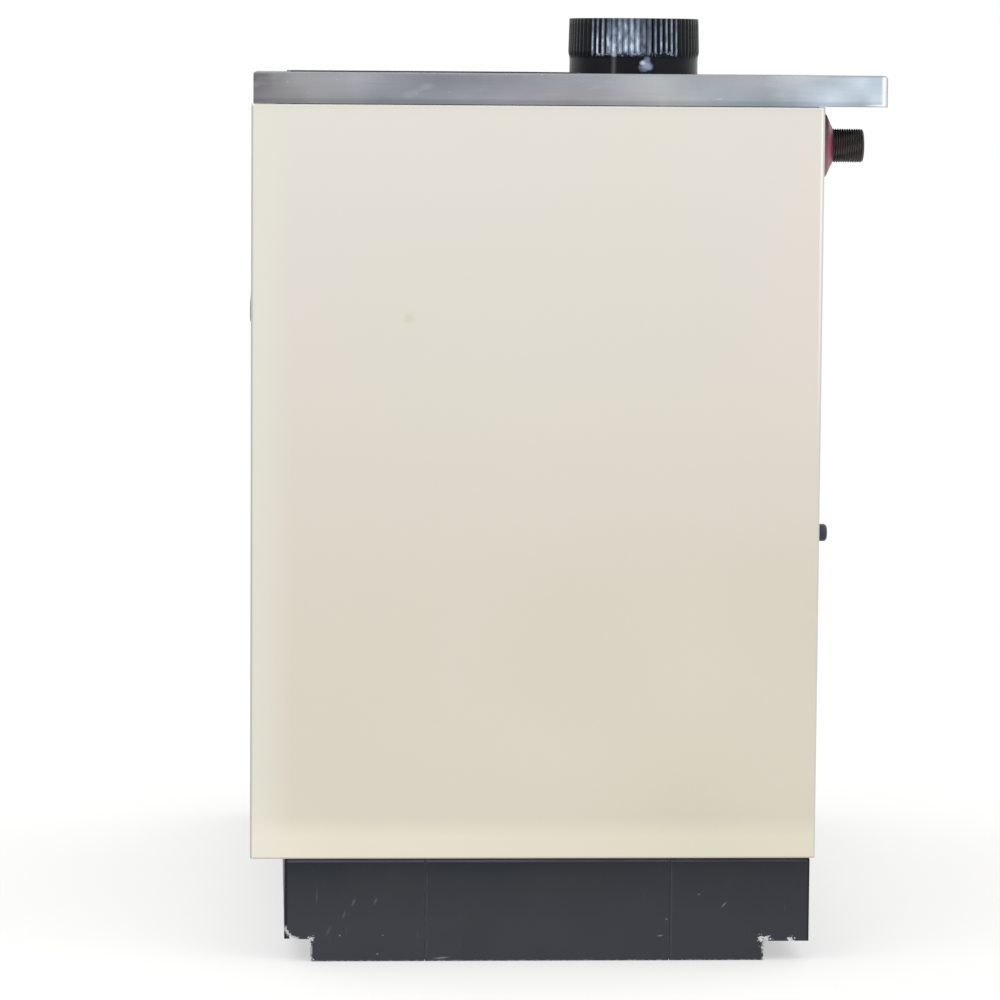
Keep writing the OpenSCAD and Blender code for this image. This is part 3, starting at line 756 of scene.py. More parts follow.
def chips(finish, settings):
    """Paint chipped off round the cut-outs and on the rounded lower corners."""
    y, z = finish.along("Y"), finish.along("Z")
    front_low, floor_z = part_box("plinth_right_front")[0].y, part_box("plinth_right_front")[0].z
    front_z, back_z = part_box("plinth_front")[0].z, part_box("plinth_back")[0].z
    front_y = front_low + settings.cut_front
    back_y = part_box("plinth_right_back")[1].y - settings.cut_back
    flat = finish.node("ShaderNodeCombineXYZ", {1: y, 2: z}).outputs[0]
    front = finish.times(
        finish.near(y, front_y, 2.4 * MM), finish.remap(z, front_z + 3 * MM, front_z - 2 * MM))
    back = finish.times(
        finish.near(y, back_y, 2.2 * MM), finish.remap(z, back_z + 3 * MM, back_z))
    foot = finish.times(finish.near(z, floor_z, 1.4 * MM), 0.35)
    torn = finish.remap(finish.noise(240.0, 3.0), 0.47, 0.56)
    worn = finish.times(finish.most(front, back, foot), torn)
    jagged = finish.drift(-3 * MM, 3 * MM, 520.0, 2.0)
    for place_y, place_z, size in (
            (front_y + 0.5 * MM, front_z, 2.2), (front_y, 2 * MM, 2.0),
            (back_y - 2 * MM, back_z + 1.5 * MM, 3.2), (back_y + 3.5 * MM, back_z + 2 * MM, 3.0),
            (back_y + 26 * MM, back_z + 1 * MM, 2.6), (back_y, back_z - 6 * MM, 1.6)):
        far = finish.distance(flat, Vector((0, place_y, place_z)))
        torn_off = finish.remap(
            finish.math("ADD", far, jagged), size * MM, (size - 0.6) * MM)
        worn = finish.most(worn, torn_off)
    pivot = Vector((0, front_low + settings.corner, front_z + settings.corner))
    return finish.most(worn, corner_chips(finish, settings, flat, pivot))


def corner_chips(finish, settings, flat, pivot):
    """Paint chipped off along the round lower corner, whose centre is the pivot."""
    frayed = finish.drift(-0.9 * MM, 0.9 * MM, 420.0, 2.0)
    reach = finish.math("ADD", finish.distance(flat, pivot), frayed)
    arc = finish.times(
        finish.remap(reach, settings.corner - 2.4 * MM, settings.corner - 1.8 * MM),
        finish.remap(reach, settings.corner + 1.6 * MM, settings.corner + 0.8 * MM))
    inside = finish.times(
        finish.span("Y", pivot.y + 1 * MM, pivot.y - 2 * MM),
        finish.span("Z", pivot.z, pivot.z - 4 * MM))
    return finish.times(arc, inside, 0.85, finish.remap(finish.facing("X"), 0.3, 0.6))


def flue_enamel(settings):
    """Black enamel outside, with painted reflections on the ribs and the plain part, and soot
    inside.
    """
    centre = middle("flue_collar")
    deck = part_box("top_frame")[1].z
    inside = radius_of("flue_collar") - settings.wall - settings.depth
    finish = Finish("enamel_black", Specular_IOR_Level=0.14)
    away = finish.node("ShaderNodeVectorMath", {
        0: finish.where, 1: Vector((centre.x, centre.y, 0))}, operation="SUBTRACT")
    part = finish.node("ShaderNodeSeparateXYZ", {"Vector": away.outputs["Vector"]}).outputs
    squares = [
        finish.math("POWER", finish.math("ABSOLUTE", part[axis]), 2.0) for axis in ("X", "Y")]
    radius = finish.math("SQRT", finish.math("ADD", *squares))
    azimuth = finish.times(finish.math("ARCTAN2", part["Y"], part["X"]), 180 / math.pi)
    finish.colour = finish.ramp(
        finish.noise(20.0), [(0.3, settings.black), (0.7, tone(19, 22, 28))])
    finish.mottle(0.15, 60.0)
    # Painted reflections on the collar's plain part.
    collar_marks(finish, azimuth, part["Z"], deck)
    rub = rib_marks(finish, settings, azimuth, part["Z"], deck)
    # Painted reflection: bluish-white streaks along the ribs, near white where strongest.
    bare = finish.blend(finish.remap(rub, 0.8, 1.0), settings.rub, tone(232, 240, 248))
    finish.coat(bare, rub)
    soot = finish.remap(radius, inside + 1.2 * MM, inside + 0.2 * MM)
    finish.coat(tone(24, 22, 21), soot)
    finish.set("Base Color", finish.colour)
    sheen = finish.drift(0.24, 0.34, 50.0, 3.0)
    finish.set("Roughness", finish.most(sheen, finish.times(soot, 0.95)))
    finish.bump(finish.noise(160.0, 2.0), 0.00005)
    finish.bump(finish.noise(30.0, 2.0, shift=8.0), 0.0003)
    return finish.material


def collar_marks(finish, azimuth, z, deck):
    """Painted reflections on the collar's plain part: a grey streak up it, a pale blue patch
    further round with lighter spots in it, and a pale spot at the streak's top.
    """
    painted_streak_turn = -22.4
    # Painted reflection: a grey streak up the plain part.
    streak = finish.near(azimuth, painted_streak_turn, 3.0)
    finish.coat(
        tone(104, 100, 98), streak, finish.remap(z, deck + 19 * MM, deck + 17 * MM, 0.0, 0.75))
    wander = finish.drift(-0.24, 0.24, 150.0, 2.0, shift=3.0)
    # Painted reflections: a pale blue patch with lighter spots, and a spot at the streak's top.
    for turn, rise, size, shade in (
            (6.6, 8.2, 6.4, tone(172, 180, 210)), (3.4, 11.0, 3.0, tone(226, 236, 248)),
            (7.6, 14.4, 3.4, tone(128, 140, 166)), (painted_streak_turn, 19.0, 3.0, tone(206, 214, 224))):
        across = finish.math("DIVIDE", finish.math("SUBTRACT", azimuth, turn), size)
        above = finish.math(
            "DIVIDE", finish.math("SUBTRACT", z, deck + rise * MM), size * 0.9 * MM)
        flat = finish.node("ShaderNodeCombineXYZ", {0: across, 1: above}).outputs[0]
        gap = finish.math("ADD", finish.size(flat), wander)
        finish.coat(shade, finish.remap(gap, 1.1, 0.4, 0.0, 0.85))


def rub_share(finish, azimuth, z, deck):
    """How much of the ribs carries the painted reflection, round the collar and up it."""
    lots = [
        (-180, 0.3), (-100, 0.3), (-95, 0.02), (-46.5, 0.0), (-44, 1.0), (-38, 1.0),
        (-27, 0.95), (-12, 1.0), (-7, 1.0), (-2, 1.0), (1, 0.9),
        (3, 0.42), (12, 0.4), (14.5, 0.62), (25, 0.7), (30, 0.85), (36, 0.7), (38, 0.0),
        (90, 0.02), (100, 0.3), (180, 0.3)]
    share = finish.ramp(
        finish.remap(azimuth, -180.0, 180.0),
        [((turn + 180) / 360, (amount,) * 3) for turn, amount in lots])
    faded = finish.times(
        finish.remap(azimuth, -12.0, -26.0),
        finish.remap(z, deck + 34 * MM, deck + 46 * MM, 0.0, 0.45))
    share = finish.times(share, finish.math("SUBTRACT", 1.0, faded))
    heights = [
        (19, 0.95), (25, 1.0), (31, 1.0), (38, 0.72), (44, 0.75), (49, 0.7), (53, 0.42),
        (55.5, 0.4)]
    ladder = 60
    upward = finish.ramp(
        finish.remap(z, deck, deck + ladder * MM),
        [(rise / ladder, (amount,) * 3) for rise, amount in heights])
    return share, upward


def rib_marks(finish, settings, azimuth, z, deck):
    """Broken painted reflections along the ribs' crests, and painted glints at the ribs' lower
    ends.
    """
    share, upward = rub_share(finish, azimuth, z, deck)
    phase = finish.math("SUBTRACT", azimuth, math.degrees(settings.crimp_turn))
    beat = finish.math("PINGPONG", finish.times(phase, settings.crimps / 360), 0.5)
    wide = finish.remap(finish.near(azimuth, -10.0, 24.0), 0.0, 0.3, 0.27, 0.5)
    rib = finish.remap(beat, wide, finish.math("SUBTRACT", wide, 0.16))
    start = finish.math("ADD", z, finish.drift(-2 * MM, 2 * MM, 90.0))
    rise = finish.remap(start, deck + settings.plain - 1 * MM, deck + settings.plain + 2 * MM)
    broken = finish.drift(0.4, 1.3, 190.0, 3.0, (1, 1, 0.55), edges=(0.34, 0.64))
    twin = finish.math("PINGPONG", finish.times(phase, settings.crimps / 180), 0.5)
    broken = finish.times(broken, finish.remap(twin, 0.12, 0.4, 1.05, 0.6))
    marks = finish.times(share, upward, broken, rib, rise)
    # Painted glints at the ribs' lower ends.
    painted_glints = finish.times(
        finish.near(z, deck + settings.plain + 1 * MM, 3 * MM),
        finish.remap(finish.noise(420.0, 2.0), 0.54, 0.62), share)
    return finish.math("MINIMUM", finish.most(marks, painted_glints), 1.0)


def hob_iron(name, settings, centre=None):
    """Ground cast iron: straight marks on the plate, rings about a centre on ring and lid."""
    finish = Finish(name, Metallic=0.55, Specular_IOR_Level=0.5)
    if centre is None:
        marks = finish.noise(26.0, 6.0, (1, 40, 40))
    else:
        gap = finish.distance(finish.where, centre)
        waves = finish.times(gap, 2 * math.pi / settings.groove)
        rings = finish.remap(finish.math("SINE", waves), -1.0, 1.0)
        fine = finish.node("ShaderNodeTexNoise", {
            "Vector": finish.node("ShaderNodeCombineXYZ", {0: gap}).outputs[0],
            "Scale": 2200.0, "Detail": 3.0}).outputs["Fac"]
        marks = finish.math("ADD", finish.times(rings, 0.35), finish.times(fine, 0.65))
    finish.colour = finish.ramp(marks, [(0.25, tone(58, 58, 61)), (0.75, settings.iron)])
    stain = finish.drift(0.0, 0.35, 6.0, 5.0, shift=3.0, edges=(0.45, 0.75))
    finish.coat(tone(54, 51, 50), stain)
    rust = finish.drift(0.0, 0.4, 70.0, 6.0, shift=6.0, edges=(0.68, 0.78))
    finish.coat(tone(96, 66, 48), rust)
    finish.set("Base Color", finish.colour)
    finish.set("Roughness", finish.drift(0.4, 0.5, 30.0, 4.0))
    finish.bump(marks, 0.00004)
    finish.bump(finish.noise(500.0, 3.0), 0.00005)
    return finish.material


def from_axis(finish):
    """The distance from the nearer pipe's axis, and how far above or below it."""
    flat = finish.node("ShaderNodeVectorMath", {
        0: finish.where, 1: Vector((1, 0, 1))}, operation="MULTIPLY").outputs["Vector"]
    gaps, levels = [], []
    for node in ("flow_pipe", "return_pipe"):
        centre = middle(node)
        gaps.append(finish.distance(flat, Vector((centre.x, 0, centre.z))))
        rise = finish.math("SUBTRACT", finish.along("Z"), centre.z)
        levels.append(finish.math("ABSOLUTE", rise))
    return finish.math("MINIMUM", *gaps), finish.math("MINIMUM", *levels)


def pipe_coating(settings):
    """Dark phosphated steel with brown tinges, and a painted highlight on the crests of the
    thread, strongest at the level of the pipe's axis.
    """
    finish = Finish("steel_coated", Metallic=0.25, Specular_IOR_Level=0.5)
    radius = radius_of("flow_pipe")
    gap, level = from_axis(finish)
    finish.colour = finish.ramp(
        finish.noise(90.0, 5.0),
        [(0.3, tone(42, 41, 43)), (0.55, tone(50, 46, 48)), (0.75, settings.dark)])
    # Painted highlight: lighter crests of the thread, fading above and below the axis.
    painted_crest_highlight = finish.remap(gap, radius - settings.thread * 0.7, radius - settings.thread * 0.1)
    beside = finish.remap(level, radius * 0.3, radius * 0.75, 1.0, 0.2)
    finish.coat(tone(98, 92, 89), painted_crest_highlight, beside)
    rust = finish.drift(0.0, 0.35, 60.0, 4.0, shift=3.0, edges=(0.55, 0.72))
    finish.coat(tone(80, 58, 52), rust)
    finish.set("Base Color", finish.colour)
    finish.set("Roughness", finish.drift(0.38, 0.6, 120.0, 3.0))
    finish.bump(finish.noise(700.0, 3.0), 0.00008)
    return finish.material


def boss_paint(settings):
    """Crimson primer with painted light: a paler painted sheen above and below the middle, lighter
    near the base, painted shade at the nose and a painted shadow line at the panel.
    """
    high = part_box("flow_boss")[1]
    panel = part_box("back_panel")[1].y
    finish = Finish("paint_red", Specular_IOR_Level=0.25)
    level = from_axis(finish)[1]
    finish.colour = finish.ramp(
        finish.noise(55.0, 4.0),
        [(0.3, tone(160, 85, 104)), (0.6, settings.red), (0.8, tone(182, 110, 127))])
    # Painted sheen: paler above and below the middle.
    finish.coat(settings.dusty, finish.remap(level, 7 * MM, 18 * MM, 0.0, 0.85))
    # Painted light: lighter near the boss's base.
    rear = finish.span("Y", high.y - 14 * MM, high.y - 20 * MM, 0.0, 0.6)
    finish.coat(tone(182, 130, 140), rear)
    # Painted shade: darker at the nose.
    nose = finish.span("Y", high.y - 5.5 * MM, high.y - 2 * MM, 0.0, 0.85)
    finish.coat(tone(72, 46, 52), nose, finish.remap(level, 8 * MM, 18 * MM, 1.0, 0.4))
    # Painted shadow: a dark line where the boss meets the panel.
    line = finish.span("Y", panel + 2.6 * MM, panel + 1.4 * MM, 0.0, 0.8)
    finish.coat(tone(60, 40, 44), line)
    finish.coat(tone(196, 160, 170), finish.specks(220.0, 0.16, keep=0.93), 0.4)
    finish.set("Base Color", finish.colour)
    finish.set("Roughness", finish.drift(0.36, 0.55, 80.0, 3.0))
    finish.bump(finish.noise(160.0, 3.0), 0.00025)
    return finish.material


def plain_finish(name, light, dark, scale, rough, bump, **constants):
    """A quiet two-tone finish: its colour, its sheen and its grain vary a little."""
    finish = Finish(name, **constants)
    finish.colour = finish.ramp(finish.noise(scale, 4.0), [(0.3, dark), (0.7, light)])
    finish.mottle(0.06, scale * 3)
    finish.set("Base Color", finish.colour)
    finish.set("Roughness", finish.drift(rough - 0.06, rough + 0.06, scale * 2, 3.0))
    finish.bump(finish.noise(scale * 12, 3.0), bump)
    return finish.material


def glass():
    """The thermometer's clear front."""
    finish = Finish("dial_glass", Transmission_Weight=1.0, IOR=1.45)
    finish.set("Roughness", finish.drift(0.02, 0.07, 60.0, 3.0, edges=(0.4, 0.7)))
    return finish.material


# ---------------------------------------------------------------- enamelled sheet


def facing(node, finish, settings):
    """A door, drawer front or strip with round corners and soft edges."""
    low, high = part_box(node)
    outline = round_rectangle(low.x, high.x, low.z, high.z, [settings.door_round] * 4)
    piece = make_piece(
        node + "_enamel", prism(outline, "Y", low.y, high.y), finish, [node])
    soften(piece, settings.door_edge)
    return piece


class STOVE_OT_panels(bpy.types.Operator):
    """Build the enamelled side and back panels and finish the casing behind them"""
    bl_idname = "stove.panels"
    bl_label = "Side and back panels"

    def execute(self, context):
        settings = context.scene.stove_enamel
        cream = enamel(settings)
        for node in ("side_panel_right", "side_panel_left"):
            low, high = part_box(node)
            outline = round_rectangle(
                low.x, high.x, low.y, high.y, [settings.panel_round] * 4, steps=8)
            panel = make_piece(
                node + "_enamel", prism(outline, "Z", low.z, high.z), cream,
                [node])
            soften(panel, settings.panel_edge, limit=60)
        self.back_panel(cream)
        self.casing()
        return {"FINISHED"}

    def back_panel(self, cream):
        """The back sheet, pierced for the pipes, with its screws."""
        low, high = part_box("back_panel")
        clear = 0.5 * MM
        holes = []
        for boss in ("flow_boss", "return_boss"):
            centre = middle(boss)
            holes.append(circle(centre.x, centre.z, radius_of(boss) + clear))
        outline = round_rectangle(low.x, high.x, low.z, high.z, [0] * 4)
        sheet = make_piece(
            "back_panel_enamel", prism(outline, "Y", low.y, high.y, holes), cream,
            ["back_panel"])
        soften(sheet, 0.4 * MM)
        zinc = plain_finish(
            "screw_zinc", tone(168, 168, 164), tone(120, 118, 112), 90.0, 0.34, 0.00005,
            Metallic=0.9)
        heads = bmesh.new()
        inset = 14 * MM
        rows = 5
        for row in range(rows):
            z = low.z + inset + row * (high.z - low.z - 2 * inset) / (rows - 1)
            for x in (low.x + inset, high.x - inset):
                merge(heads, screw_head(x, high.y, z))
        for x in (low.x / 3, high.x / 3):
            for z in (low.z + inset, high.z - inset):
                merge(heads, screw_head(x, high.y, z))
        make_piece("back_screws", heads, zinc)

    def casing(self):
        """The dark casing, tray and plate behind the doors keep their CAD shapes."""
        dark = plain_finish(
            "casing_dark", tone(46, 45, 46), tone(32, 31, 32), 18.0, 0.6, 0.0001)
        for node in ("boiler_body", "base_tray", "front_plate"):
            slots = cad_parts[node].data.materials
            slots.clear()
            slots.append(dark)


def screw_head(x, y, z):
    """A pan head with a round recess, on a face that looks to the back."""
    radius, height = 4 * MM, 1.9 * MM
    return turned(
        [(0, y), (radius, y), (radius, y + height * 0.35), (radius * 0.8, y + height * 0.85),
         (radius * 0.45, y + height), (radius * 0.3, y + height), (0, y + height * 0.35)],
        "Y", (x, z), steps=20)


class STOVE_OT_doors(bpy.types.Operator):
    """Build the enamelled doors, the drawer front and the control strip"""
    bl_idname = "stove.doors"
    bl_label = "Doors and drawer"

    def execute(self, context):
        cream = bpy.data.materials["enamel_cream"]
        for node in ("control_strip", "fire_door", "ash_door", "oven_door", "drawer_front"):
            facing(node, cream, context.scene.stove_enamel)
        return {"FINISHED"}


# ---------------------------------------------------------------- grips and controls


class STOVE_OT_grips(bpy.types.Operator):
    """Build the flat bar grips and their posts"""
    bl_idname = "stove.grips"
    bl_label = "Grips"

    def execute(self, context):
        settings = context.scene.stove_controls
        black = plain_finish(
            "grip_black", settings.black, tone(30, 30, 32), 60.0, 0.42, 0.00005,
            Specular_IOR_Level=0.45)
        for door in ("fire_door", "ash_door", "oven_door", "drawer"):
            node = door + "_grip"
            low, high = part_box(node)
            outline = round_rectangle(
                low.x, high.x, low.z, high.z, [(high.z - low.z) / 2 - 0.1 * MM] * 4, steps=12)
            bar = make_piece(
                node + "_bar", prism(outline, "Y", low.y, high.y), black, [node])
            soften(bar, settings.grip_edge)
        self.posts(black)
        return {"FINISHED"}

    def posts(self, black):
        """Posts with a collar at the door, on the places of the CAD posts."""
        low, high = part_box("grip_posts")
        radius, collar = 6 * MM, 8.5 * MM
        from_end = 24 * MM
        profile = [
            (0, low.y), (radius, low.y), (radius, high.y - 4 * MM),
            (collar, high.y - 2.5 * MM), (collar, high.y), (0, high.y)]
        form = bmesh.new()
        for door in ("fire_door", "ash_door", "oven_door", "drawer"):
            bar_low, bar_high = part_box(door + "_grip")
            z = (bar_low.z + bar_high.z) / 2
            for x in (bar_low.x + from_end, bar_high.x - from_end):
                merge(form, turned(profile, "Y", (x, z), steps=32))
        make_piece("grip_posts_turned", form, black, ["grip_posts"])


def numerals(name, marks, y, ink):
    """Numbers that face the front: each mark is text, x, z and height."""
    form = bmesh.new()
    for text, x, z, size in marks:
        curve = bpy.data.curves.new(name, "FONT")
        curve.body = text
        curve.size = size
        curve.extrude = 0.05 * MM
        curve.align_x = "CENTER"
        curve.align_y = "CENTER"
        letter = bpy.data.objects.new(name, curve)
        bpy.context.scene.collection.objects.link(letter)
        depsgraph = bpy.context.evaluated_depsgraph_get()
        shape = bpy.data.meshes.new_from_object(letter.evaluated_get(depsgraph))
        shape.transform(
            Matrix.Translation((x, y, z)) @ Matrix.Rotation(math.radians(90), 4, "X"))
        form.from_mesh(shape)
        bpy.data.objects.remove(letter)
        bpy.data.curves.remove(curve)
        bpy.data.meshes.remove(shape)
    return make_piece(name, form, ink)


def on_dial(centre, turn, reach):
    """The x and z at reach from a dial's centre, turn degrees clockwise from straight up."""
    return (
        centre[0] + reach * math.sin(math.radians(turn)),
        centre[1] + reach * math.cos(math.radians(turn)))


def tick(centre, turn, inner, outer, width, low, high):
    """A small bar on a dial, turn degrees clockwise from straight up."""
    across = Vector((math.cos(math.radians(turn)), 0, -math.sin(math.radians(turn))))
    out = Vector((math.sin(math.radians(turn)), 0, math.cos(math.radians(turn))))
    rings = []
    for y in (low, high):
        rings.append([
            Vector((centre[0], y, centre[1])) + out * reach + across * side * width / 2
            for reach, side in ((inner, -1), (inner, 1), (outer, 1), (outer, -1))])
    form = loft(rings)
    for ring in (form.verts[:4], form.verts[4:]):
        form.faces.new(ring)
    return form


class STOVE_OT_controls(bpy.types.Operator):
    """Build the draught knob, the thermometer and the damper pull"""
    bl_idname = "stove.controls"
    bl_label = "Controls"

    def execute(self, context):
        settings = context.scene.stove_controls
        self.ink = plain_finish(
            "print_ink", tone(40, 40, 42), tone(28, 28, 30), 200.0, 0.5, 0.00002)
        self.white = plain_finish(
            "pointer_white", tone(226, 226, 222), tone(214, 214, 208), 200.0, 0.45, 0.00002)
        self.knob(settings)
        self.thermometer(settings)
        self.damper_pull()
        return {"FINISHED"}

    def knob(self, settings):
        """A fluted knob on a flange, with a pointer, in a ring of numbers."""
        low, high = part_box("regulator_knob")
        centre = front_middle("regulator_knob")
        radius = radius_of("regulator_knob")
        deep = high.y - low.y
        face = high.y - 0.95 * deep
        steps = settings.knob_flutes * 6
        profile = [
            (1.0, 0.0, 0), (1.0, 0.1, 0), (0.9, 0.16, 0), (0.88, 0.22, 1), (0.86, 0.86, 1),
            (0.84, 0.94, 0.6), (0.79, 1.0, 0), (0.72, 1.0, 0), (0.68, 0.95, 0)]
        rings = [[place("Y", *centre, high.y)]]
        for share, reach, fluted in profile:
            ring = []
            for step in range(steps):
                turn = 2 * math.pi * step / steps
                wave = 0.5 - 0.5 * math.cos(turn * settings.knob_flutes)
                out = radius * share - fluted * settings.flute_depth * wave
                ring.append(place(
                    "Y", centre[0] + out * math.cos(turn), centre[1] + out * math.sin(turn),
                    high.y - reach * deep))
            rings.append(ring)
        rings.append([place("Y", *centre, face)])
        black = bpy.data.materials["grip_black"]
        make_piece("knob", loft(rings), black, ["regulator_knob"], sharp=50)
        first, step, count, setting = -120, 40, 7, -40
        pointer = tick(
            centre, setting, radius * 0.2, radius * 0.66, 1.8 * MM, face - 0.5 * MM, face)
        make_piece("knob_pointer", pointer, self.white)
        marks = [
            (str(k), *on_dial(centre, first + step * k, 1.42 * radius), 7.5 * MM)
            for k in range(count)]
        numerals("knob_numbers", marks, high.y - 0.06 * MM, self.ink)
        ticks = bmesh.new()
        for k in range(2 * count - 1):
            merge(ticks, tick(
                centre, first + step / 2 * k, radius * 1.1, radius * (1.2 if k % 2 else 1.24),
                0.7 * MM, high.y - 0.12 * MM, high.y))
        make_piece("knob_ticks", ticks, self.ink)

    def thermometer(self, settings):
        """A rim, a white dial with numbers, a needle and a glass."""
        low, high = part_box("thermometer_rim")
        centre = front_middle("thermometer_rim")
        radius, inner = radius_of("thermometer_rim"), radius_of("thermometer_dial")
        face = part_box("thermometer_dial")[0].y
        rim = turned(
            [(radius, high.y), (radius, low.y + 2.2 * MM), (radius - 0.6 * MM, low.y + 0.8 * MM),
             (radius - 1.6 * MM, low.y), (radius - 2.6 * MM, low.y + 0.2 * MM),
             (inner + 0.1 * MM, low.y + 1.2 * MM), (inner, low.y + 1.8 * MM), (inner, high.y)],
            "Y", centre, steps=96, closed=True)
        chrome = plain_finish(
            "rim_chrome", tone(196, 198, 202), tone(176, 178, 182), 60.0, 0.2, 0.00002,
            Metallic=1.0)
        make_piece("thermometer_rim_turned", rim, chrome, ["thermometer_rim"])
        disc = turned(
            [(0, face), (inner - 0.1 * MM, face), (inner - 0.1 * MM, high.y), (0, high.y)],
            "Y", centre, steps=96)
        card = plain_finish(
            "dial_card", tone(232, 231, 226), tone(224, 222, 214), 40.0, 0.5, 0.00002)
        make_piece("thermometer_card", disc, card, ["thermometer_dial"])
        self.dial(settings, centre, inner, face)
        pane = turned(
            [(0, face - 1.6 * MM), (inner * 0.98, face - 1.6 * MM),
             (inner * 0.98, face - 2.1 * MM), (0, face - 2.5 * MM)],
            "Y", centre, steps=96)
        make_piece("thermometer_glass", pane, glass())

    def dial(self, settings, centre, inner, face):
        """The thermometer's ticks, numbers and needle."""
        first, step, count, fine, reading = -120, 40, 7, 4, -108
        ticks = bmesh.new()
        for k in range((count - 1) * fine + 1):
            long = k % fine == 0
            merge(ticks, tick(
                centre, first + step * k / fine, inner * (0.8 if long else 0.86),
                inner * 0.94, (0.7 if long else 0.4) * MM, face - 0.08 * MM, face))
        make_piece("thermometer_ticks", ticks, self.ink)
        marks = [
            (str(k * settings.dial_step), *on_dial(centre, first + step * k, inner * 0.62),
             5.2 * MM)
            for k in range(count)]
        numerals("thermometer_numbers", marks, face - 0.06 * MM, self.ink)
        needle = tick(
            centre, reading, -inner * 0.2, inner * 0.74, 1.1 * MM, face - 0.9 * MM,
            face - 0.5 * MM)
        merge(needle, turned(
            [(0, face), (2.6 * MM, face), (2.6 * MM, face - 1.1 * MM), (0, face - 1.4 * MM)],
            "Y", centre, steps=32))
        make_piece("thermometer_needle", needle, bpy.data.materials["grip_black"])

    def damper_pull(self):
        """A turned pull on a stem, with a plate at its foot."""
        low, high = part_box("damper_pull")
        centre = front_middle("damper_pull")
        radius = radius_of("damper_pull")
        profile = [
            (0, high.y), (radius * 0.8, high.y), (radius * 0.8, high.y - 1.5 * MM),
            (radius * 0.5, high.y - 2.4 * MM), (radius * 0.45, high.y - 8 * MM),
            (radius * 0.6, high.y - 10.5 * MM), (radius * 0.96, high.y - 12 * MM),
            (radius, high.y - 14 * MM), (radius, low.y + 3.5 * MM),
            (radius * 0.93, low.y + 1.4 * MM), (radius * 0.75, low.y + 0.3 * MM),
            (radius * 0.5, low.y), (0, low.y)]
        make_piece(
            "damper_pull_turned", turned(profile, "Y", centre), bpy.data.materials["grip_black"],
            ["damper_pull"])


# ---------------------------------------------------------------- top: frame, hob and collar


class STOVE_OT_top_frame(bpy.types.Operator):
    """Fold the stainless top frame from one sheet"""
    bl_idname = "stove.top_frame"
    bl_label = "Top frame"

    def execute(self, context):
        settings = context.scene.stove_steel
        low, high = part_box("top_frame")
        seat_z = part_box("hob_plate")[0].z
        folds = 5
        turns = [math.radians(90 * k / folds) for k in range(folds + 1)]
        bend = [(settings.fold * (1 - math.cos(turn)),
                 high.z - settings.fold * (1 - math.sin(turn))) for turn in turns]
        form = bmesh.new()
        band = [(0.0, low.z), *bend]
        outer = [self.frame_outline(settings, low, high, inset) for inset, _ in band]
        deck_edge = self.strip(form, outer, [z for _, z in band])
        lip = [(0.0, seat_z), *bend]
        openings = [self.hob_outline(settings, outset) for outset, _ in lip]
        hob_edge = self.strip(form, openings, [z for _, z in lip])
        flue = middle("flue_collar")
        tuck = 1 * MM
        flue_rings = [circle(flue.x, flue.y, radius_of("flue_collar") - tuck, 96)] * 2
        flue_edge = self.strip(form, flue_rings, [high.z - settings.sheet, high.z])
        bmesh.ops.triangle_fill(form, edges=deck_edge + hob_edge + flue_edge, use_beauty=True)
        sheet = make_piece(
            "top_frame_sheet", form, stainless(settings), ["top_frame"],
            outward=(0, 0, 1))
        thicken(sheet, settings.sheet)
        soften(sheet, 0.3 * MM, limit=60, segments=2)
        return {"FINISHED"}

    def frame_outline(self, settings, low, high, inset):
        """The frame's plan, round at the rear corners only."""
        rear = max(settings.rear_round - inset, 0.5 * MM)
        return round_rectangle(
            low.x + inset, high.x - inset, low.y + inset, high.y - inset, [0, 0, rear, rear])

    def hob_outline(self, settings, outset):
        """The opening round the hob plate, widened by outset."""
        low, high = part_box("hob_plate")
        reach = settings.hob_gap + outset
        return round_rectangle(
            low.x - reach, high.x + reach, low.y - reach, high.y + reach, [0] * 4)

    def strip(self, form, outlines, levels):
        """Walls through outlines at rising levels. Returns the edges of the last one."""
        rows = [[form.verts.new((x, y, z)) for x, y in outline]
                for outline, z in zip(outlines, levels)]
        for lower, upper in zip(rows, rows[1:]):
            for k in range(len(lower)):
                form.faces.new((lower[k - 1], lower[k], upper[k], upper[k - 1]))
        last = rows[-1]
        return [form.edges.get((last[k - 1], last[k])) for k in range(len(last))]


HOB_GAP = 0.6 * MM
HOB_LEDGE = 7 * MM
HOB_CORNER = 3 * MM


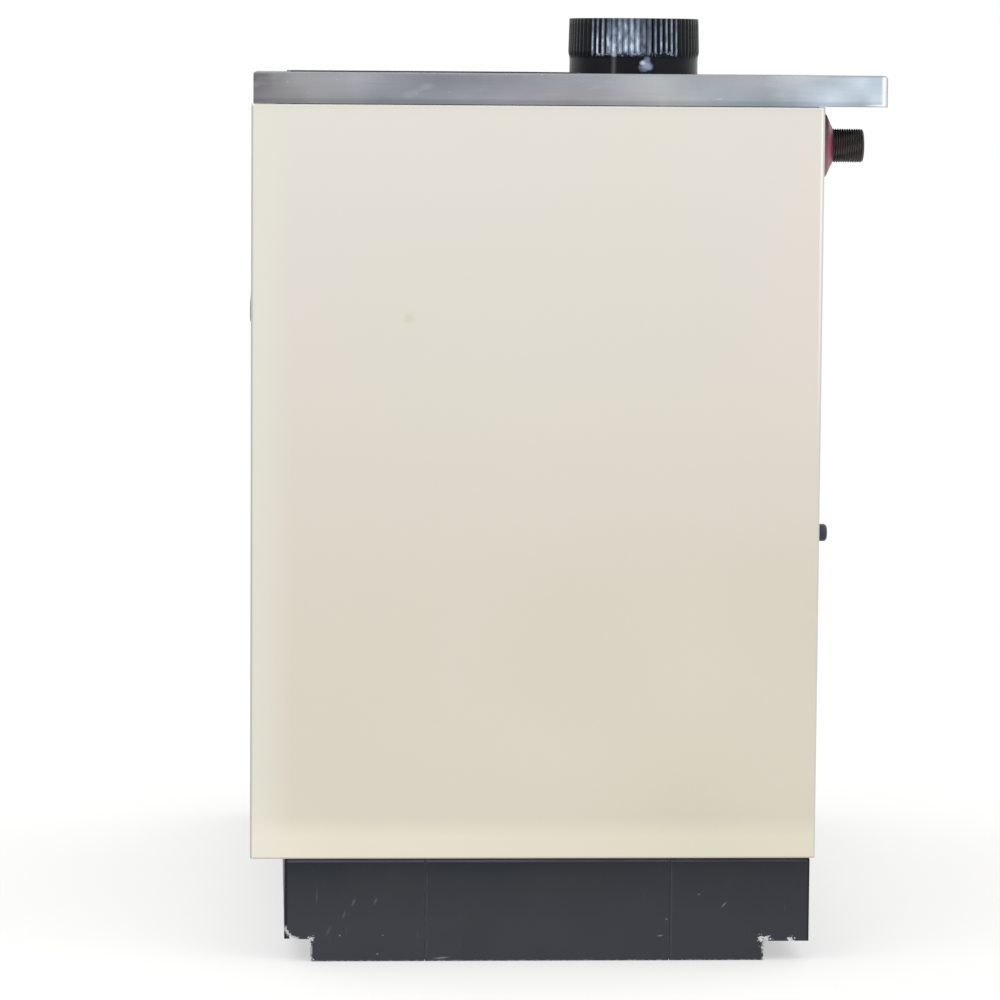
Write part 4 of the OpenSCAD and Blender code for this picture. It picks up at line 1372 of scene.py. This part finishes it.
class STOVE_OT_hob(bpy.types.Operator):
    """Build the hob plate with its ring and its lid"""
    bl_idname = "stove.hob"
    bl_label = "Hob"

    def execute(self, context):
        settings = context.scene.stove_hob
        low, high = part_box("hob_plate")
        centre = middle("hob_ring")
        spot = Vector((centre.x, centre.y, high.z))
        plate_iron = hob_iron("iron_ground", settings)
        ring_iron = hob_iron("iron_turned", settings, spot)
        ledge_z = (low.z + high.z) / 2
        self.plate(settings, low, high, ledge_z, centre, plate_iron)
        self.ring(settings, low, high, ledge_z, centre, ring_iron)
        self.lid(settings, low, high, ledge_z, centre, ring_iron, plate_iron)
        return {"FINISHED"}

    def plate(self, settings, low, high, ledge_z, centre, iron):
        """The plate with its round opening, and the ledge that the ring rests on."""
        radius = radius_of("hob_ring")
        opening, inside = radius + HOB_GAP, radius - HOB_LEDGE
        outline = round_rectangle(low.x, high.x, low.y, high.y, [HOB_CORNER] * 4)
        hole = circle(centre.x, centre.y, opening, 128)
        plate = make_piece(
            "hob_plate_iron", prism(outline, "Z", low.z, high.z, [hole]), iron,
            ["hob_plate"])
        soften(plate, settings.edge)
        seat = turned(
            [(opening, ledge_z), (opening, low.z), (inside, low.z), (inside, ledge_z)],
            "Z", (centre.x, centre.y), steps=128, closed=True)
        make_piece("hob_plate_ledge", seat, iron)

    def ring(self, settings, low, high, ledge_z, centre, iron):
        """The ring, with a foot inside the plate's ledge and a ledge for the lid."""
        outer, inner = radius_of("hob_ring"), radius_of("hob_lid")
        foot = outer - HOB_LEDGE - HOB_GAP
        edge, opening, ledge = settings.edge, inner + HOB_GAP, inner - HOB_LEDGE
        ring = turned(
            [(outer, ledge_z), (outer, high.z - edge), (outer - edge, high.z),
             (opening + edge, high.z), (opening, high.z - edge), (opening, ledge_z),
             (ledge, ledge_z), (ledge, low.z), (foot, low.z), (foot, ledge_z)],
            "Z", (centre.x, centre.y), steps=128, closed=True)
        make_piece("hob_ring_iron", ring, iron, ["hob_ring"])

    def lid(self, settings, low, high, ledge_z, centre, iron, foot_iron):
        """The lid with its lifting slot, and its foot inside the ring's ledge."""
        radius = radius_of("hob_lid")
        foot = radius - HOB_LEDGE - HOB_GAP
        slot_y = centre.y - radius * 0.62
        half_length, half_width = settings.lift_length / 2, settings.lift_width / 2
        slot = round_rectangle(
            centre.x - half_length, centre.x + half_length, slot_y - half_width,
            slot_y + half_width, [half_width - 0.1 * MM] * 4)
        lid = make_piece(
            "hob_lid_iron",
            prism(circle(centre.x, centre.y, radius, 128), "Z", ledge_z, high.z, [slot]),
            iron, ["hob_lid"])
        soften(lid, settings.edge)
        base = turned(
            [(0, ledge_z), (foot, ledge_z), (foot, low.z), (0, low.z)],
            "Z", (centre.x, centre.y), steps=96)
        make_piece("hob_lid_foot", base, foot_iron)


class STOVE_OT_flue(bpy.types.Operator):
    """Build the flue collar with its crimps and its seam"""
    bl_idname = "stove.flue"
    bl_label = "Flue collar"

    def execute(self, context):
        settings = context.scene.stove_flue
        low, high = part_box("flue_collar")
        centre = middle("flue_collar")
        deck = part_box("top_frame")[1].z
        crimp_z = deck + settings.plain
        neck, seat = 1.5 * MM, 60.5 * MM
        columns = settings.crimps * 12
        turns = [2 * math.pi * column / columns + settings.crimp_turn
                 for column in range(columns)]
        outer = self.outside(settings, turns, crimp_z, high.z)
        levels = [low.z, deck - 0.5 * MM, deck + 0.3 * MM, deck + 6 * MM]
        levels += [crimp_z + (k - 6) * 1.2 * MM for k in range(13)]
        levels += [crimp_z + 7.2 * MM + (high.z - crimp_z - 7.8 * MM) * k / 5
                   for k in range(1, 6)]
        rows = [(z, 0.0 if z > deck else neck) for z in levels]
        rings = [[(outer(column, z) - slim, z) for column in range(columns)] for z, slim in rows]
        rings += [[(outer(column, high.z) - lip, high.z) for column in range(columns)]
                  for lip in (0.5 * MM, settings.wall - 0.5 * MM)]
        for z in reversed(levels[4:]):
            rings.append([(outer(column, z) - settings.wall, z - 0.5 * MM)
                          for column in range(columns)])
        rings.append([(seat, deck)] * columns)
        rings.append([(seat, low.z)] * columns)
        points = []
        for ring in rings:
            points.append([
                Vector((centre.x + radius * math.cos(turn), centre.y + radius * math.sin(turn), z))
                for turn, (radius, z) in zip(turns, ring)])
        make_piece(
            "flue_collar_crimped", loft(points, closed=True), flue_enamel(settings),
            ["flue_collar"], sharp=60)
        return {"FINISHED"}

    def outside(self, settings, turns, crimp_z, top_z):
        """Draws the crimps' lots, and returns a function for the collar's outside radius."""
        columns = len(turns)
        plain_radius = radius_of("flue_collar") - 0.2 * MM
        widest = 0.17
        seam_width = 1.6 * MM
        lots = random.Random(11)
        crimps = [(lots.uniform(0.85, 1.05), lots.uniform(-2.5, 1.2) * MM)
                  for _ in range(settings.crimps)]

        def outer(column, z):
            """The collar's outside radius in a column at a height."""
            phase = column * settings.crimps / columns
            depth, shift = crimps[int(phase)]
            rise = (z - crimp_z - shift + settings.tip * 0.4) / settings.tip
            rise = min(max(rise, 0.0), 1.0)
            width = widest * math.sqrt(rise)
            swell = min(max((z - crimp_z + 4 * MM) / (8 * MM), 0.0), 1.0)
            swell = swell * swell * (3 - 2 * swell)
            fall = min(max((z - crimp_z) / (top_z - crimp_z), 0.0), 1.0)
            crown = math.cos(math.pi * (phase % 1 - 0.5)) ** 2
            radius = plain_radius + swell * (
                settings.flare * (1 - 0.7 * fall) - settings.crown * crown)
            groove = 0.0
            if width > 0:
                groove = max(0.0, 1 - abs(phase % 1 - 0.5) / width)
            radius -= settings.depth * depth * rise * groove
            across = (turns[column] - settings.seam) * plain_radius / seam_width
            return radius + settings.seam_height * math.exp(-across * across) * (1 - rise)

        return outer


# ---------------------------------------------------------------- back: pipes and buffers


class STOVE_OT_pipes(bpy.types.Operator):
    """Build the threaded pipe stubs, their bosses and the wall buffers"""
    bl_idname = "stove.pipes"
    bl_label = "Pipe stubs and buffers"

    def execute(self, context):
        settings = context.scene.stove_pipes
        coating = pipe_coating(settings)
        red = boss_paint(settings)
        for end in ("flow", "return"):
            self.stub(settings, end, coating)
            self.boss(settings, end, red)
        rubber = plain_finish(
            "buffer_rubber", tone(48, 56, 68), tone(38, 43, 53), 80.0, 0.42, 0.0001,
            Specular_IOR_Level=0.4)
        for node in ("wall_buffer_right", "wall_buffer_left"):
            self.buffer(settings, node, rubber)
        return {"FINISHED"}

    def stub(self, settings, end, coating):
        """A pipe with a cut thread, a chamfered end and its bore."""
        low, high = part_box(end + "_pipe")
        centre = middle(end + "_pipe")
        radius = radius_of(end + "_pipe")
        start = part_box(end + "_boss")[1].y
        shank = radius - 0.6 * MM
        bore = radius - settings.wall
        columns = 72
        turns = [2 * math.pi * column / columns for column in range(columns)]
        rings = [[(shank, low.y)] * columns, [(shank, start - 0.2 * MM)] * columns]
        rows = int((high.y - start) / settings.pitch * 8)
        for row in range(rows + 1):
            y = start + (high.y - start) * row / rows
            limit = radius - max(0.0, y - (high.y - settings.chamfer))
            ring = []
            for turn in turns:
                phase = (y / settings.pitch - turn / (2 * math.pi)) % 1
                cut = abs(2 * phase - 1) ** 0.8
                ring.append((min(limit, radius - settings.thread * cut), y))
            rings.append(ring)
        rings.append([(bore + 0.4 * MM, high.y)] * columns)
        rings.append([(bore, high.y - 0.6 * MM)] * columns)
        rings.append([(bore, low.y)] * columns)
        points = [[
            place("Y", centre.x + out * math.cos(turn), centre.z + out * math.sin(turn), y)
            for turn, (out, y) in zip(turns, ring)] for ring in rings]
        make_piece(
            end + "_pipe_threaded", loft(points, closed=True), coating,
            [end + "_pipe"], sharp=70)

    def boss(self, settings, end, red):
        """A boss with a cone, softly edged like a painted casting."""
        low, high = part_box(end + "_boss")
        centre = middle(end + "_boss")
        radius = radius_of(end + "_boss")
        bore = (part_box(end + "_pipe")[1].x - centre.x) - 0.4 * MM
        cone = high.y - settings.cone
        profile = [
            (bore, low.y), (radius, low.y), (radius, cone - 1.0 * MM),
            (radius - 0.3 * MM, cone - 0.2 * MM), (radius - 1.0 * MM, cone + 0.5 * MM),
            (settings.nose + 1.0 * MM, high.y - 1.0 * MM),
            (settings.nose + 0.2 * MM, high.y - 0.3 * MM), (settings.nose - 0.8 * MM, high.y),
            (bore, high.y)]
        make_piece(
            end + "_boss_painted", turned(profile, "Y", (centre.x, centre.z), 96, closed=True),
            red, [end + "_boss"], sharp=50)

    def buffer(self, settings, node, rubber):
        """A rubber buffer with a chamfered face and its stem."""
        low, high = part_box(node)
        centre = middle(node)
        radius = radius_of(node)
        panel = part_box("back_panel")[1].y
        face = high.y - settings.buffer_chamfer
        profile = [
            (0, low.y), (4 * MM, low.y), (4 * MM, panel), (radius - 0.5 * MM, panel),
            (radius, panel + 0.5 * MM), (radius, face - 0.3 * MM),
            (radius - 0.3 * MM, face + 0.3 * MM),
            (radius - settings.buffer_chamfer + 0.3 * MM, high.y - 0.2 * MM),
            (radius - settings.buffer_chamfer - 0.6 * MM, high.y), (0, high.y)]
        make_piece(
            node + "_rubber", turned(profile, "Y", (centre.x, centre.z), 48), rubber,
            [node], sharp=50)


# ---------------------------------------------------------------- plinth


class STOVE_OT_plinth(bpy.types.Operator):
    """Fold the plates of the plinth"""
    bl_idname = "stove.plinth"
    bl_label = "Plinth"

    def execute(self, context):
        settings = context.scene.stove_plinth
        paint = plinth_paint(settings)
        # The laps get a lighter grey than the plinth's paint: painted light against the shade in
        # the seams.
        lap_painted_light = plain_finish(
            "lap_painted_light", tone(132, 134, 142), tone(120, 122, 130), 30.0, 0.5, 0.00003)
        notches = {"front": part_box("plinth_front")[0].z, "back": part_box("plinth_back")[0].z}
        for side, inward in (("right", -1), ("left", 1)):
            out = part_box(f"plinth_{side}_middle")[1 if inward < 0 else 0].x
            for part in ("front", "middle", "back"):
                node = f"plinth_{side}_{part}"
                low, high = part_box(node)
                outline = self.side_outline(settings, part, low, high, notches.get(part))
                self.plate(settings, node, outline, "X", out, inward, high, paint)
                if part != "middle":
                    seam = high.y if part == "front" else low.y
                    self.lap(settings, node, seam, out, inward, low, high, lap_painted_light)
        for node, inward in (("plinth_front", 1), ("plinth_back", -1)):
            low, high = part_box(node)
            outline = [(low.x, low.z), (high.x, low.z)]
            out = low.y if inward > 0 else high.y
            self.plate(settings, node, outline, "Y", out, inward, high, paint)
        self.returns(settings, paint)
        return {"FINISHED"}

    def returns(self, settings, paint):
        """The short returns at the front plate's ends, seen below the rounded corners."""
        low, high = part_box("plinth_front")
        for side, edge, inward in (("right", high.x, -1), ("left", low.x, 1)):
            near_x, far_x = edge + inward * 0.1 * MM, edge + inward * settings.sheet
            outline = round_rectangle(
                min(near_x, far_x), max(near_x, far_x), low.y + settings.sheet - 0.3 * MM,
                low.y + settings.turn_in, [0] * 4)
            form = prism(outline, "Z", low.z + 0.1 * MM, high.z - settings.fold)
            make_piece(f"plinth_front_return_{side}", form, paint)

    def side_outline(self, settings, part, low, high, notch):
        """The lower line of a side plate, from its front to its back, with its cut-out."""
        if part == "middle":
            return [(low.y, low.z), (high.y, low.z)]
        if part == "back":
            cut = high.y - settings.cut_back
            return [(low.y, low.z), (cut, low.z), (cut, notch), (high.y, notch)]
        cut = low.y + settings.cut_front
        radius = settings.corner
        corner = []
        steps = 8
        for step in range(steps + 1):
            turn = math.radians(180 + 90 * step / steps)
            corner.append((
                low.y + radius + radius * math.cos(turn),
                notch + radius + radius * math.sin(turn)))
        return corner + [(cut, notch), (cut, low.z), (high.y, low.z)]

    def lap(self, settings, node, seam, out, inward, low, high, paint):
        """The strip behind a seam that a side plate passes under its neighbour."""
        near_x = out + inward * settings.sheet
        far_x = near_x + inward * settings.sheet
        outline = round_rectangle(
            min(near_x, far_x), max(near_x, far_x), seam - settings.lap / 2,
            seam + settings.lap / 2, [0] * 4)
        form = prism(outline, "Z", low.z + 1 * MM, high.z - 0.3 * MM)
        make_piece(node + "_lap", form, paint)

    def plate(self, settings, node, line, axis, out, inward, high, paint):
        """A plate from a lower line up to a fold, with a flange turned inwards."""
        start, end = line[0][0], line[-1][0]
        fold_z = high.z - settings.fold
        form = bmesh.new()
        face = [form.verts.new(place(axis, u, v, out)) for u, v in line]
        face += [form.verts.new(place(axis, u, fold_z, out)) for u in (end, start)]
        form.faces.new(face)
        row = [face[-1], face[-2]]
        folds = 4
        for step in range(1, folds + 1):
            turn = math.radians(90 * step / folds)
            w = out + inward * settings.fold * (1 - math.cos(turn))
            z = fold_z + settings.fold * math.sin(turn)
            cut = settings.relief * step / folds
            row = self.add_row(form, row, axis, (start + cut, end - cut), z, w)
        self.add_row(
            form, row, axis, (start + settings.flange * 0.2, end - settings.flange * 0.2),
            high.z, out + inward * settings.flange)
        outward = place(axis, 0, 0, -inward)
        piece = make_piece(
            node + "_folded", form, paint, [node], outward=outward)
        thicken(piece, settings.sheet)
        soften(piece, 0.25 * MM, limit=60, segments=2)

    def add_row(self, form, row, axis, ends, z, w):
        """One more strip of a folded plate. Returns its far row."""
        following = [form.verts.new(place(axis, u, z, w)) for u in ends]
        form.faces.new((row[0], row[1], following[1], following[0]))
        return following


# ---------------------------------------------------------------- stage


class STOVE_OT_stage(bpy.types.Operator):
    """Set up the camera, the soft lamps, the white surround and the floor"""
    bl_idname = "stove.stage"
    bl_label = "Stage"

    def execute(self, context):
        settings = context.scene.stove_stage
        context.scene.view_settings.view_transform = "Standard"
        self.camera(context, settings)
        self.surround(context, settings)
        self.lamps(context, settings)
        self.floor(context, settings)
        return {"FINISHED"}

    def camera(self, context, settings):
        """The camera looks square at the right side."""
        data = bpy.data.cameras.new("camera")
        data.lens = settings.lens
        data.clip_end = 100
        camera = bpy.data.objects.new("camera", data)
        context.scene.collection.objects.link(camera)
        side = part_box("side_panel_right")[1].x + 1.5 * MM
        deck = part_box("top_frame")[1].z
        camera.location = (
            side + settings.distance, CAD_LOW.y + settings.behind_front,
            deck + settings.above_top)
        forward = Vector((
            -math.cos(settings.yaw) * math.cos(settings.pitch),
            math.sin(settings.yaw) * math.cos(settings.pitch),
            -math.sin(settings.pitch)))
        lean = Matrix.Rotation(settings.roll, 4, "Z")
        turn = forward.to_track_quat("-Z", "Y").to_matrix().to_4x4() @ lean
        camera.rotation_euler = turn.to_euler()
        context.scene.camera = camera

    def surround(self, context, settings):
        """White to the camera, in reflections and through glass, and a soft sky otherwise."""
        world = bpy.data.worlds.new("surround")
        world.use_nodes = True
        tree = world.node_tree
        tree.nodes.clear()
        path = tree.nodes.new("ShaderNodeLightPath")
        seen = path.outputs["Is Camera Ray"]
        for name in ("Is Glossy Ray", "Is Transmission Ray"):
            either = tree.nodes.new("ShaderNodeMath")
            either.operation = "MAXIMUM"
            tree.links.new(seen, either.inputs[0])
            tree.links.new(path.outputs[name], either.inputs[1])
            seen = either.outputs[0]
        mix = tree.nodes.new("ShaderNodeMixShader")
        tree.links.new(seen, mix.inputs[0])
        for socket, strength in ((1, settings.ambient), (2, 1.0)):
            white = tree.nodes.new("ShaderNodeBackground")
            white.inputs["Color"].default_value = (1.0, 1.0, 1.0, 1.0)
            white.inputs["Strength"].default_value = strength
            tree.links.new(white.outputs[0], mix.inputs[socket])
        output = tree.nodes.new("ShaderNodeOutputWorld")
        tree.links.new(mix.outputs[0], output.inputs["Surface"])
        context.scene.world = world

    def lamps(self, context, settings):
        """Four high soft lamps round the stove and one overhead."""
        target = Vector((0, 0, CAD_HIGH.z))
        away = settings.side_away
        for number, turn in enumerate((-45, 45, 135, 225)):
            x, y = math.cos(math.radians(turn)) * away, math.sin(math.radians(turn)) * away
            self.lamp(context, f"side_lamp_{number}", Vector((x, y, settings.side_up)), target,
                      (settings.side_width, settings.side_height), settings.side_watts)
        overhead = Vector((0.4, -0.2, 3.4))
        self.lamp(context, "top_lamp", overhead, target, (settings.top_size, settings.top_size),
                  settings.top_watts)

    def lamp(self, context, name, spot, target, size, watts):
        """A soft lamp that looks at the target."""
        data = bpy.data.lights.new(name, "AREA")
        data.shape = "RECTANGLE"
        data.size, data.size_y = size
        data.energy = watts
        lamp = bpy.data.objects.new(name, data)
        lamp.location = spot
        lamp.rotation_euler = (target - spot).to_track_quat("-Z", "Y").to_euler()
        context.scene.collection.objects.link(lamp)

    def floor(self, context, settings):
        """A pale round floor that fades out into the white surround."""
        below = -0.5 * MM
        form = turned([(0, below), (settings.floor_size, below)], "Z", (0, 0), steps=96)
        mesh = bpy.data.meshes.new("floor")
        form.to_mesh(mesh)
        form.free()
        floor = bpy.data.objects.new("floor", mesh)
        context.scene.collection.objects.link(floor)
        pale = Finish("pale_floor", Roughness=0.9, Specular_IOR_Level=0.1)
        pale.colour = (0.93, 0.93, 0.93)
        pale.mottle(0.01, 3.0)
        pale.set("Base Color", pale.colour)
        pale.set("Alpha", pale.remap(
            pale.size(pale.where), settings.fade_start, settings.fade_end, settings.floor_cover,
            0.0))
        mesh.materials.append(pale.material)


# ---------------------------------------------------------------- panel and main


OPERATORS = (
    STOVE_OT_panels,
    STOVE_OT_doors,
    STOVE_OT_grips,
    STOVE_OT_top_frame,
    STOVE_OT_controls,
    STOVE_OT_hob,
    STOVE_OT_flue,
    STOVE_OT_pipes,
    STOVE_OT_plinth,
    STOVE_OT_stage,
)


class STOVE_PT_finish(bpy.types.Panel):
    """Buttons that build each group of pieces, over the sizes and colours they use"""
    bl_idname = "STOVE_PT_finish"
    bl_label = "Stove finish"
    bl_space_type = "VIEW_3D"
    bl_region_type = "UI"
    bl_category = "Stove"

    def draw(self, context):
        for operator in OPERATORS:
            self.layout.operator(operator.bl_idname)
        for name, group in GROUPS.items():
            box = self.layout.box()
            for size in group.__annotations__:
                box.prop(getattr(context.scene, name), size)


def register():
    """Registers the classes and hangs the settings on the scene."""
    for made in (*GROUPS.values(), *OPERATORS, STOVE_PT_finish):
        bpy.utils.register_class(made)
    for name, group in GROUPS.items():
        setattr(bpy.types.Scene, name, PointerProperty(type=group))


def unregister():
    """Takes the settings off the scene and unregisters the classes."""
    for name in GROUPS:
        delattr(bpy.types.Scene, name)
    for made in reversed((*GROUPS.values(), *OPERATORS, STOVE_PT_finish)):
        bpy.utils.unregister_class(made)


def main():
    """Builds every piece."""
    register()
    bpy.ops.stove.panels()
    bpy.ops.stove.doors()
    bpy.ops.stove.grips()
    bpy.ops.stove.top_frame()
    bpy.ops.stove.controls()
    bpy.ops.stove.hob()
    bpy.ops.stove.flue()
    bpy.ops.stove.pipes()
    bpy.ops.stove.plinth()
    bpy.ops.stove.stage()


if __name__ == "__main__":
    main()
